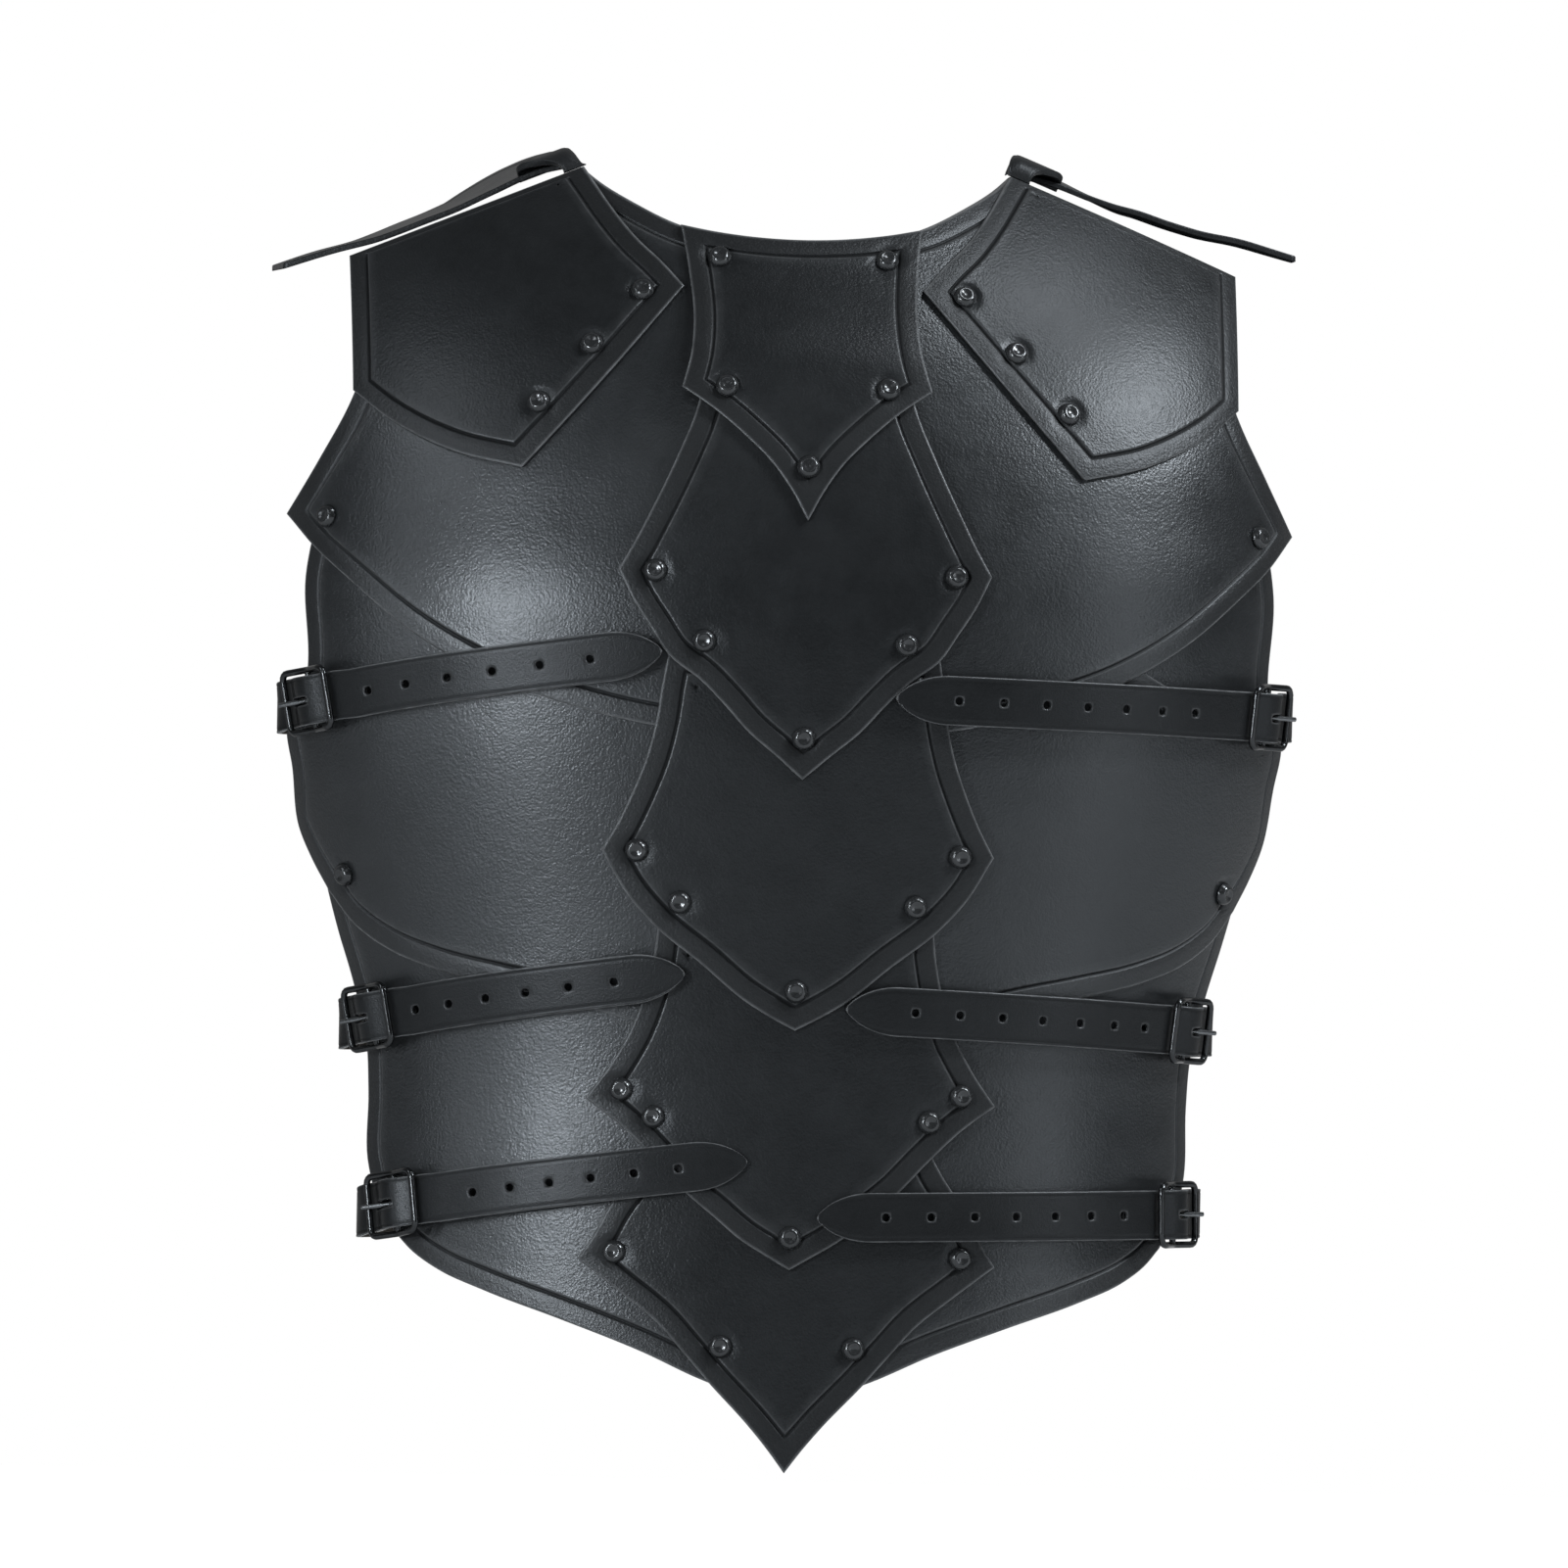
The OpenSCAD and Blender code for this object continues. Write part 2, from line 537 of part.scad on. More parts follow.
// Behind the buckle the belt bends straight back, then runs round to the middle of the back
function back_rings(k, s) =
  let (t = buckle_t(k, s),
       last = buckle_centre(k, s) - zone * t + under_bar * buckle_out(k, s),
       turn = atan2(-t.x, -t.y),
       side = last + [back_bend_r * (1 - cos(turn)), back_bend_r * sin(turn), -back_bend_r * t.z],
       z_back = belt_z[k] - back_drop)
  concat(
    [for (f = [0.75 : -0.25 : 0]) let (b = turn * f)
      [[last.x + back_bend_r * (cos(b) - cos(turn)), last.y + back_bend_r * (sin(turn) - sin(b)),
        last.z + (side.z - last.z) * (1 - f)],
       unit(f * buckle_w(k, s) + [0, 0, 1 - f]), belt_w / 2]],
    [for (b = concat([4, 9], even(15, 90, 11)))
      [[side.x * cos(b), side.y + (back_depth - side.y) * sin(b),
        side.z + (z_back - side.z) * ease(b / 70)],
       [0, 0, 1], belt_w / 2]]);
function half_belt(k, s) = concat(tail_rings(k, s), buckle_rings(k, s), back_rings(k, s));
function flip(ring) = [[-ring[0].x, ring[0].y, ring[0].z], [-ring[1].x, ring[1].y, ring[1].z], ring[2]];
function belt_path(k) =
  let (left = [for (r = half_belt(k, 0)) flip(r)], right = half_belt(k, 1), n = len(right))
  concat(left, [for (i = [n - 1 : -1 : 0]) if (i < n - 1) right[i]]);

// Strip swept along rings, from the left tip round the back to the right tip
module strip(rings, t) {
  n = len(rings);
  corners = [for (i = [0 : n - 1])
    let (c = rings[i][0],
         ahead = unit(rings[min(n - 1, i + 1)][0] - rings[max(0, i - 1)][0]),
         out = unit(cross(rings[i][1], ahead)),
         side = cross(ahead, out) * rings[i][2])
    each [c + side + out * t / 2, c - side + out * t / 2, c - side - out * t / 2, c + side - out * t / 2]];
  faces = concat(
    [for (i = [0 : n - 2], j = [0 : 3]) let (a = 4 * i + j, b = 4 * i + (j + 1) % 4)
      each [[a, b, b + 4], [a, b + 4, a + 4]]],
    [[3, 2, 1], [3, 1, 0], [4 * n - 4, 4 * n - 3, 4 * n - 2], [4 * n - 4, 4 * n - 2, 4 * n - 1]]);
  polyhedron(points = corners, faces = faces, convexity = 10);
}

// Places of the punched holes of a tail, as angle round the form
function hole_places(k, s) =
  let (start = tail_start(k, s),
       a0 = ang(start.x, belt_z[k], height_over(start)),
       a1 = ang(tip_x[k][s], belt_z[k], tip_h[k]),
       total = arc(a1, a0, belt_z[k]))
  [for (i = [0 : hole_count[k][s] - 1])
    let (f = (first_hole + first_shift[k][s] + i * (hole_pitch + pitch_shift[k][s])) / total)
    if (f < 0.97) [a1 + (a0 - a1) * f, start.z + tan(tail_slope[k][s]) * total * (1 - f)]];

module belt(k) {
  color("#17181a")
  difference() {
    strip(belt_path(k), belt_t);
    for (s = [0, 1]) mirror([1 - s, 0, 0]) {
      for (p = hole_places(k, s)) let (n = out_at(p[0], p[1]))
        translate(on(p[0], p[1], 0)) rotate([0, acos(n.z), atan2(n.y, n.x)])
          cylinder(d = hole_d, h = 40, $fn = 24);
      buckle_axes(k, s) tongue_slot();
    }
  }
}

// Slot in the belt that lets the tongue swing
module tongue_slot() {
  translate([slot_from, -slot_w / 2, -4]) cube([slot_to - slot_from, slot_w, 16]);
  for (x = [slot_from, slot_to]) translate([x, 0, -4]) cylinder(d = slot_w, h = 16, $fn = 24);
}

// Places the children with X along t, Z along n and the origin at c
module axes(t, n, c) {
  y = cross(n, t);
  multmatrix([[t.x, y.x, n.x, c.x], [t.y, y.y, n.y, c.y], [t.z, y.z, n.z, c.z], [0, 0, 0, 1]])
    children();
}

// A buckle or a tab at its place: X along it to the chest's middle, Z outwards, 0 at the centre bar
module buckle_axes(k, s) {
  axes(buckle_t(k, s), buckle_out(k, s), buckle_centre(k, s)) children();
}

module at_buckle(k, s) { mirror([1 - s, 0, 0]) buckle_axes(k, s) children(); }

module at_tab(k, s) {
  mirror([1 - s, 0, 0]) axes(tab_t_dir(k, s), tab_out(k, s), buckle_centre(k, s)) children();
}

// Tab: leather folded round the centre bar, its two legs laid together on the shell
module tab(k, s) {
  color("#1f2022")
  at_tab(k, s)
  difference() {
    union() {
      rotate([90, 0, 0]) cylinder(r = loop_r, h = tab_w, center = true, $fn = 48);
      translate([0, tab_w / 2, 0]) rotate([90, 0, 0]) linear_extrude(tab_w)
        polygon([[0, -loop_r * 0.7], [loop_r * 0.6, loop_r * 0.4], [8.5, leg_floor + 2 * tab_t],
                 [tab_l, leg_floor + 2 * tab_t], [tab_l, leg_floor], [4, leg_floor]]);
    }
    rotate([90, 0, 0]) cylinder(d = wire_d + 2 * bar_fit, h = tab_w + 2, center = true, $fn = 48);
    translate([-loop_r - 1, -eye_w / 2 - 0.6, -loop_r - 3])
      cube([2 * loop_r + 2.4, eye_w + 1.2, 2 * loop_r + 4]);
    tab_bore();
  }
}

module tab_bore() {
  translate([tab_rivet_at, 0, -bar_h - 20]) cylinder(d = shank_d + 2 * shank_clear, h = 24, $fn = 32);
}

// Flat rivet of a tab
module tab_rivet(k, s) {
  under = seat_h[k] + tab_washer_gap;
  at_tab(k, s) translate([tab_rivet_at, 0, leg_floor + 2 * tab_t]) {
    translate([0, 0, 0.1]) cylinder(d = tab_cap_d, h = tab_cap_h, $fn = 32);
    translate([0, 0, -2 * tab_t - under - washer_t - shank_end])
      cylinder(d = shank_d, h = 2 * tab_t + under + washer_t + shank_end + 0.4, $fn = 32);
    translate([0, 0, -2 * tab_t - under - washer_t]) cylinder(d = washer_d, h = washer_t, $fn = 32);
  }
}

// Buckle frame: a loop of wire whose end bars lie above the centre bar, which is let into its sides
module buckle_frame(k, s) {
  color("#3a3b3d")
  at_buckle(k, s) {
    rotate([90, 0, 0]) cylinder(d = wire_d, h = 2 * frame_half_w, center = true, $fn = 24);
    wire_loop(frame_path(), wire_d / 2, 10);
  }
}

// Middle line of the loop: four rounded corners at the end bars' height, and the ends of the centre bar
function frame_path() = concat(
  [[0, -frame_half_w, 0]], frame_corner(1, -1, -90), frame_corner(1, 1, 0),
  [[0, frame_half_w, 0]], frame_corner(-1, 1, 90), frame_corner(-1, -1, 180));
function frame_corner(a, b, from) = [for (turn = [0 : 30 : 90])
  [a * (bar_reach - frame_corner_r) + frame_corner_r * cos(from + turn),
   b * (frame_half_w - frame_corner_r) + frame_corner_r * sin(from + turn), end_rise]];

// Closed loop of round wire along a path that turns the left way round, seen from above
module wire_loop(path, r, sides) {
  n = len(path);
  points = [for (i = [0 : n - 1])
    let (ahead = unit(path[(i + 1) % n] - path[(i + n - 1) % n]),
         outward = unit(cross(ahead, [0, 0, 1])),
         up = cross(outward, ahead))
    for (j = [0 : sides - 1])
      path[i] + r * (cos(360 * j / sides) * outward + sin(360 * j / sides) * up)];
  faces = [for (i = [0 : n - 1], j = [0 : sides - 1])
    let (a = i * sides + j, b = i * sides + (j + 1) % sides,
         c = (i + 1) % n * sides + (j + 1) % sides, d = (i + 1) % n * sides + j)
    each [[a, b, c], [a, c, d]]];
  polyhedron(points = points, faces = faces, convexity = 6);
}

// Tongue: an eye round the centre bar and an arm that rests on the outer end bar
module tongue(k, s) {
  root = [-2, 0, 0.9];
  to_bar = [-bar_reach, 0, end_rise] - root;
  // Slope at which the arm's lower side clears the end bar by tongue_rest
  slope = atan2(to_bar.z, -to_bar.x)
    + asin((wire_d / 2 + tongue_d / 2 + tongue_rest) / norm(to_bar));
  reach = (bar_reach - 2 + tongue_past) / cos(slope);
  color("#48494b")
  at_buckle(k, s)
  difference() {
    union() {
      rotate([90, 0, 0]) cylinder(r = eye_r, h = eye_w, center = true, $fn = 32);
      translate(root) rotate([0, slope - 90, 0]) cylinder(d = tongue_d, h = reach, $fn = 24);
    }
    rotate([90, 0, 0]) cylinder(d = wire_d + 0.4, h = 3 * eye_w, center = true, $fn = 32);
  }
}

module other_side() { mirror([1, 0, 0]) children(); }

base_shell();
other_side() pectoral();  // pectoral_left
pectoral();  // pectoral_right
other_side() rib_panel(0);  // rib_panel_left
rib_panel(1);  // rib_panel_right
collar_plate();
breast_plate();
midriff_plate();
waist_plate();
hem_plate();
other_side() shoulder_plate();  // shoulder_plate_left
shoulder_plate();  // shoulder_plate_right
other_side() shoulder_flap();  // shoulder_flap_left
shoulder_flap();  // shoulder_flap_right
belt(0);  // chest_belt
belt(1);  // waist_belt
belt(2);  // hip_belt
tab(0, 0);  // chest_tab_left
tab(0, 1);  // chest_tab_right
tab(1, 0);  // waist_tab_left
tab(1, 1);  // waist_tab_right
tab(2, 0);  // hip_tab_left
tab(2, 1);  // hip_tab_right
buckle_frame(0, 0);  // chest_frame_left
buckle_frame(0, 1);  // chest_frame_right
buckle_frame(1, 0);  // waist_frame_left
buckle_frame(1, 1);  // waist_frame_right
buckle_frame(2, 0);  // hip_frame_left
buckle_frame(2, 1);  // hip_frame_right
tongue(0, 0);  // chest_tongue_left
tongue(0, 1);  // chest_tongue_right
tongue(1, 0);  // waist_tongue_left
tongue(1, 1);  // waist_tongue_right
tongue(2, 0);  // hip_tongue_left
tongue(2, 1);  // hip_tongue_right
rivets(collar_group);  // collar_rivets
rivets(breast_group);  // breast_rivets
rivets(midriff_group);  // midriff_rivets
rivets(waist_group);  // waist_rivets
rivets(hem_group);  // hem_rivets
rivets(shoulder_group, [-1]);  // shoulder_rivets_left
rivets(shoulder_group, [1]);  // shoulder_rivets_right
rivets(pec_group);  // pectoral_rivets
rivets(rib_group);  // rib_rivets
for (k = [0 : 2]) tab_rivet(k, 0);  // tab_rivets_left
for (k = [0 : 2]) tab_rivet(k, 1);  // tab_rivets_right
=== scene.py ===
"""Dresses the leather chest armour: riveted sheets over a torso form and three buckled belts.

Sizes in the classes are millimetres in the part's own frame, with X across the chest, -Y in front
and +Z up. Meshes are written in metres.
"""
import json
import logging
import math
from dataclasses import dataclass, field
from enum import Enum
from typing import Callable

import bpy
import numpy as np
from mathutils import Matrix, Vector


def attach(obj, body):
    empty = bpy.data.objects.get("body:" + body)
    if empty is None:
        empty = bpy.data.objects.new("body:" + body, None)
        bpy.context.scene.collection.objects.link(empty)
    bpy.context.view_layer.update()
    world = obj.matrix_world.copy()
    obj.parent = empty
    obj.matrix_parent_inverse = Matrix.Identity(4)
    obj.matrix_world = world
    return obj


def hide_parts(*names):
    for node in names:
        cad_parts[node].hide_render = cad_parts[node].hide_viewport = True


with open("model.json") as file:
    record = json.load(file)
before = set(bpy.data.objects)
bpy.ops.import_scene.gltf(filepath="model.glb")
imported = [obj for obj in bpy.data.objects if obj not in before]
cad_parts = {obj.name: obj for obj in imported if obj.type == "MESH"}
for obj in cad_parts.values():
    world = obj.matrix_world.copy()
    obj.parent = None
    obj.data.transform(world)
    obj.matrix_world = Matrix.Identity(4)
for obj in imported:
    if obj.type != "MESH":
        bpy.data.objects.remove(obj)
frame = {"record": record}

log = logging.getLogger("armour")
Array = np.ndarray
MM = 0.001
BODY = "armour"


class Side(Enum):
    """Side of the chest as the viewer sees it, with the sign of its X."""

    LEFT = -1
    RIGHT = 1


# Small helpers for curves and frames


def ease(t: Array) -> Array:
    """Cosine step from 0 to 1."""
    return (1 - np.cos(np.pi * np.clip(t, 0, 1))) / 2


def unit(v: Array) -> Array:
    """Vectors of length one along the same directions."""
    return v / np.maximum(np.linalg.norm(v, axis=-1, keepdims=True), 1e-12)


def smooth_curve(points: Array, n: int) -> Array:
    """Smooth line through points: a cubic on each span, its slopes the blend of both neighbours'.

    Args:
        points: corner-free row of points, shape (k, d).
        n: number of samples, spread evenly by distance.

    Returns:
        Samples of shape (n, d).
    """
    p = np.asarray(points, float)
    step = np.linalg.norm(np.diff(p, axis=0), axis=1)
    t = np.concatenate([[0], np.cumsum(step)])
    slope = np.diff(p, axis=0) / step[:, None]
    m = np.concatenate([slope[:1], slope[-1:]]) if len(p) == 2 else np.concatenate([
        slope[:1],
        (step[:-1, None] * slope[1:] + step[1:, None] * slope[:-1]) / (step[:-1] + step[1:])[:, None],
        slope[-1:]])
    fine = np.linspace(0, t[-1], max(400, 4 * n))
    i = np.clip(np.searchsorted(t, fine, side="right") - 1, 0, len(step) - 1)
    f = ((fine - t[i]) / step[i])[:, None]
    h = step[i][:, None]
    row = ((2 * f**3 - 3 * f**2 + 1) * p[i] + (f**3 - 2 * f**2 + f) * h * m[i]
           + (3 * f**2 - 2 * f**3) * p[i + 1] + (f**3 - f**2) * h * m[i + 1])
    run = np.concatenate([[0], np.cumsum(np.linalg.norm(np.diff(row, axis=0), axis=1))])
    want = np.linspace(0, run[-1], n)
    return np.stack([np.interp(want, run, row[:, k]) for k in range(p.shape[1])], -1)


# The torso form that every sheet follows


@dataclass(frozen=True)
class Torso:
    """Front of a torso: half an ellipse at each height, leaning back towards the shoulders."""

    chest_half_w: float = 232.0
    waist_half_w: float = 192.0
    chest_depth: float = 126.0
    waist_depth: float = 112.0
    back_depth: float = 98.0
    shoulder_lean: float = 93.0
    lean_z: float = -200.0
    chest_z: float = -200.0
    waist_z: float = -430.0

    def to_waist(self, z: Array) -> Array:
        """0 at the chest, 1 at the waist."""
        return ease((self.chest_z - z) / (self.chest_z - self.waist_z))

    def half_w(self, z: Array) -> Array:
        """Half width at a height."""
        return self.chest_half_w + (self.waist_half_w - self.chest_half_w) * self.to_waist(z)

    def depth(self, z: Array) -> Array:
        """Depth from the side line to the front at a height."""
        return self.chest_depth + (self.waist_depth - self.chest_depth) * self.to_waist(z)

    def lean(self, z: Array) -> Array:
        """How far the section stands back at a height."""
        return self.shoulder_lean * np.maximum(0, (z - self.lean_z) / -self.lean_z) ** 2.2

    def lean_rate(self, z: Array) -> Array:
        """Slope of the lean."""
        return self.lean(z + 0.5) - self.lean(z - 0.5)

    def angle(self, x: Array, z: Array, h: Array = 0.0) -> Array:
        """Angle round the form of a point x from the middle, h off the form."""
        return np.arcsin(np.clip(x / (self.half_w(z) + h), -0.985, 0.985))

    def on(self, a: Array, z: Array, h: Array) -> Array:
        """Point at angle a and height z, h out from the form along its level normal."""
        a, z, h = np.broadcast_arrays(np.asarray(a, float), np.asarray(z, float), np.asarray(h, float))
        w, d = self.half_w(z), self.depth(z)
        n = unit(np.stack([d * np.sin(a), -w * np.cos(a)], -1))
        g = h * (1 + (np.sqrt(1 + self.lean_rate(z) ** 2) - 1) * np.cos(a))
        return np.stack([w * np.sin(a) + g * n[..., 0],
                         -d * np.cos(a) + self.lean(z) + g * n[..., 1], z], -1)

    def height_over(self, p: Array) -> float:
        """Height of a point over the form's front, along the level line."""
        w, d, y = self.half_w(p[2]), self.depth(p[2]), p[1] - self.lean(p[2])
        f = math.hypot(p[0] / w, y / d)
        return (f - 1) * f / math.hypot(p[0] / w / w, y / d / d)

    def up_at(self, a: Array, z: Array, h: Array = 0.0) -> Array:
        """Direction up the surface."""
        return unit(self.on(a, z + 1, h) - self.on(a, z - 1, h))

    def across_at(self, a: Array, z: Array, h: Array = 0.0) -> Array:
        """Direction round the surface towards +X."""
        half = math.radians(0.5)
        return unit(self.on(a + half, z, h) - self.on(a - half, z, h))

    def out_at(self, a: Array, z: Array) -> Array:
        """Direction out of the surface."""
        return unit(np.cross(self.across_at(a, z), self.up_at(a, z)))

    def run(self, a: Array, z: Array, h: Array) -> Array:
        """Arc length from the middle to angle a: the ellipse's speed summed at eight Gauss points."""
        knots, weights = np.polynomial.legendre.leggauss(8)
        w, d = self.half_w(z) + h, self.depth(z) + h
        t = np.asarray(a)[..., None] / 2 * (1 + knots)
        speed = np.sqrt((w[..., None] * np.cos(t)) ** 2 + (d[..., None] * np.sin(t)) ** 2)
        return a / 2 * (speed * weights).sum(-1)

    def angle_at_run(self, s: Array, z: Array, h: Array) -> Array:
        """Angle at an arc length from the middle, by Newton's steps on run()."""
        w, d = self.half_w(z) + h, self.depth(z) + h
        a = s / w
        for _ in range(7):
            speed = np.sqrt((w * np.cos(a)) ** 2 + (d * np.sin(a)) ** 2)
            a = np.clip(a - (self.run(a, z, h) - s) / speed, -1.6, 1.6)
        return a


@dataclass(frozen=True)
class Layer:
    """Height of a sheet's inner face over the form: one value above start, another span below it."""

    high: float
    low: float
    start: float = 0.0
    span: float = 1.0

    def __call__(self, z: Array) -> Array:
        """Inner height at a height of the body."""
        return self.high + (self.low - self.high) * ease((self.start - np.asarray(z, float)) / self.span)


TORSO = Torso()
BASE_T = 3.2
SHEET_T = 2.8
GAP = 0.4
RIB_H = BASE_T + GAP
OVER_RIB_H = RIB_H + SHEET_T + GAP
OVER_PANEL_H = OVER_RIB_H + SHEET_T + GAP
OVER_PLATE_H = OVER_PANEL_H + SHEET_T + GAP
TOP_H = OVER_PLATE_H + SHEET_T + GAP


# Flat nets of points and faces, and the closed solids made from them

EDGE_ROUND = 1.0


@dataclass
class Net:
    """A flat sheet cut into faces: places, lift of the front face, marks and quads."""

    at: Array
    lift: Array
    marks: Array
    quads: Array


def cut_edge(net: Net) -> Array:
    """Lift of the points on the rounded cut edge, 0 elsewhere."""
    return np.where(net.lift < -0.05, net.lift, 0) * (net.marks[:, 0] > 0.3)


@dataclass(frozen=True)
class EdgeCurve:
    """One stretch of an outline between two corners.

    Attributes:
        points: its points, going clockwise as the viewer sees the sheet.
        border: width of the tooled border here, as a share of the usual.
        tooled: 1 where the groove is cut, 0 where the edge is plain.
    """

    points: Array
    border: float = 1.0
    tooled: float = 1.0


@dataclass(frozen=True)
class Border:
    """Profile of a sheet from its cut edge inwards: rounded edge, flat band, groove and lip."""

    groove_at: float = 9.4
    groove_w: float = 1.7
    groove_d: float = 0.85
    lip: float = 0.35
    inner: float = 15.0

    def rows(self) -> list[tuple[float, float, float, float, float]]:
        """Rows of (distance, lift, edge mark, groove mark, band mark)."""
        # The edge mark lightens the rounded cut edge and the groove's inner lip: a painted highlight with
        # some wear. The groove mark darkens the groove: painted shade.
        g, w, d = self.groove_at, self.groove_w, self.groove_d
        return [(0.0, -0.7, 1.0, 0.0, 1.0), (0.1, -0.34, 1.0, 0.0, 1.0), (0.32, -0.1, 0.9, 0.0, 1.0),
                (0.75, 0.0, 0.35, 0.0, 1.0), (1.4, 0.0, 0.0, 0.0, 1.0), (4.5, 0.0, 0.0, 0.0, 1.0),
                (g - w * 0.75, 0.0, 0.0, 0.1, 1.0), (g - w * 0.5, -0.12 * d, 0.0, 0.55, 0.9),
                (g - w * 0.22, -0.8 * d, 0.0, 1.0, 0.7), (g + w * 0.02, -d, 0.0, 1.0, 0.5),
                (g + w * 0.2, -0.75 * d, 0.0, 0.85, 0.3), (g + w * 0.42, self.lip * 0.3, 0.0, 0.25, 0.0),
                (g + w * 0.68, self.lip * 1.15, 0.35, 0.0, 0.0),
                (g + w * 1.1, self.lip * 1.1, 0.1, 0.0, 0.0),
                (self.inner, self.lip, 0.0, 0.0, 0.0)]


def offset_curve(dense: Array, d: float, trim_a: float, trim_b: float, n: int) -> Array:
    """Points of a curve moved to its right by d, between its trimmed ends or carried on past them."""
    step = np.linalg.norm(np.diff(dense, axis=0), axis=1)
    run = np.concatenate([[0], np.cumsum(step)])
    ahead = unit(np.gradient(dense, axis=0))
    t = trim_a + (run[-1] - trim_a - trim_b) * np.linspace(0, 1, n + 1)
    inside = np.clip(t, 0, run[-1])
    at = np.stack([np.interp(inside, run, dense[:, k]) for k in (0, 1)], -1)
    way = unit(np.stack([np.interp(inside, run, ahead[:, k]) for k in (0, 1)], -1))
    return at + way * (t - inside)[:, None] + d * np.stack([way[:, 1], -way[:, 0]], -1)


def share_out(curves: list[Array], n: int) -> list[int]:
    """Splits n spans among curves by their lengths, at least three each."""
    size = np.array([np.linalg.norm(np.diff(c, axis=0), axis=1).sum() for c in curves])
    spans = np.maximum(3, np.floor(n * size / size.sum()).astype(int))
    spans[np.argmax(size)] += n - spans.sum()
    return spans.tolist()


def sheet_net(sides: list[list[EdgeCurve]], unrolled: Callable[[Array], Array], nu: int, nv: int,
              border: Border) -> Net:
    """Net of a sheet: rows that follow the outline at growing distances, and a blended patch inside.

    A row at distance d is the outline moved inwards, each stretch cut or carried on to where it meets
    the next. Inside the last row, a point is the sum of the two blends of opposite sides less the blend
    of the four corners (a Coons patch).

    Args:
        sides: top, right, bottom and left stretches, clockwise.
        unrolled: maps (x, z) to distances along the leather.
        nu: spans across. nv: spans down.
        border: profile of the edge.

    Returns:
        The net, its faces turning left seen from the front.
    """
    curves, spans, widths, tooled = [], [], [], []
    for side, n in zip(sides, (nu, nv, nu, nv)):
        dense = [unrolled(smooth_curve(c.points, 220)) for c in side]
        curves += dense
        spans += share_out(dense, n)
        widths += [c.border for c in side]
        tooled += [c.tooled for c in side]
    count = len(curves)
    ends = [(unit(c[1] - c[0]), unit(c[-1] - c[-2])) for c in curves]

    def trims(k: int, d: float) -> tuple[float, float]:
        """Lengths cut from curve k's start and end at distance d."""
        result = []
        for other, a, b in ((k - 1, ends[k - 1][1], ends[k][0]),
                            ((k + 1) % count, ends[k][1], ends[(k + 1) % count][0])):
            turn = math.pi - math.atan2(a[1] * b[0] - a[0] * b[1], float(a @ b))
            own, next_d = d * widths[k], d * widths[other]
            flat = abs(math.sin(turn)) < 0.06
            result.append(0.0 if flat else (next_d + own * math.cos(turn)) / math.sin(turn))
        return result[0], result[1]

    m = sum(spans)
    cut = np.repeat(tooled, spans)
    rings, lifts, marks = [], [], []
    for d, lift, edge, groove, band in border.rows():
        rows = [offset_curve(curves[k], d * widths[k], *trims(k, d), spans[k]) for k in range(count)]
        for k in range(count):
            rows[k - 1][-1] = rows[k][0] = (rows[k - 1][-1] + rows[k][0]) / 2
        rings.append(np.concatenate([row[:-1] for row in rows]))
        lifts.append(lift * cut if d > EDGE_ROUND and lift < 0 else np.full(m, lift))
        marks.append(np.stack([np.full(m, edge), groove * cut, np.full(m, band)], -1))
    last = rings[-1]
    top, right = last[:nu + 1], last[nu:nu + nv + 1]
    low = last[nu + nv:2 * nu + nv + 1][::-1]
    left = np.concatenate([last[2 * nu + nv:], last[:1]])[::-1]
    u = np.linspace(0, 1, nu + 1)[None, :, None]
    v = np.linspace(0, 1, nv + 1)[:, None, None]
    patch = ((1 - v) * top[None] + v * low[None] + (1 - u) * left[:, None] + u * right[:, None]
             - (1 - u) * (1 - v) * top[0] - u * (1 - v) * top[-1] - (1 - u) * v * low[0] - u * v * low[-1])
    start = (len(rings) - 1) * m
    index = np.zeros((nv + 1, nu + 1), int)
    index[0] = start + np.arange(nu + 1)
    index[:, -1] = start + nu + np.arange(nv + 1)
    index[-1] = start + nu + nv + np.arange(nu, -1, -1)
    # This column is one point on from the ring's count, which leaves a small open corner in the sheet
    index[1:-1, 0] = start + 2 * nu + nv + np.arange(nv, 1, -1)
    inner = (nv - 1) * (nu - 1)
    index[1:-1, 1:-1] = len(rings) * m + np.arange(inner).reshape(nv - 1, nu - 1)
    at = np.concatenate(rings + [patch[1:-1, 1:-1].reshape(-1, 2)])
    lift_all = np.concatenate(lifts + [np.full(inner, border.lip)])
    mark_all = np.concatenate(marks + [np.zeros((inner, 3))])
    around = np.arange(m)
    nxt = (around + 1) % m
    bands = [np.stack([r * m + around, (r + 1) * m + around, (r + 1) * m + nxt, r * m + nxt], -1)
             for r in range(len(rings) - 1)]
    return Net(at, lift_all, mark_all, np.concatenate(bands + [grid_cells(index).reshape(-1, 4)]))


def grid_cells(index: Array) -> Array:
    """Quads of a grid of point numbers, one for each of its cells."""
    return np.stack([index[:-1, :-1], index[1:, :-1], index[1:, 1:], index[:-1, 1:]], -1)


def solid_faces(quads: Array, n: int) -> tuple[Array, Array]:
    """Faces of a closed solid over a net: fronts, backs turned round, and a wall on each free edge.

    Args:
        quads: faces of the net.
        n: number of its points. Back points follow the front ones.

    Returns:
        The faces, and for each 0 on the front and walls and 1 on the back.
    """
    edges = np.concatenate([quads[:, [k, (k + 1) % 4]] for k in range(4)])
    key = np.sort(edges, axis=1)
    code = key[:, 0].astype(np.int64) * (n + 1) + key[:, 1]
    _, first, uses = np.unique(code, return_index=True, return_counts=True)
    free = edges[first[uses == 1]]
    walls = np.stack([free[:, 1], free[:, 0], free[:, 0] + n, free[:, 1] + n], -1)
    back = quads[:, ::-1] + n
    kind = np.concatenate([np.zeros(len(quads), int), np.ones(len(back), int), np.zeros(len(walls), int)])
    return np.concatenate([quads, back, walls]), kind


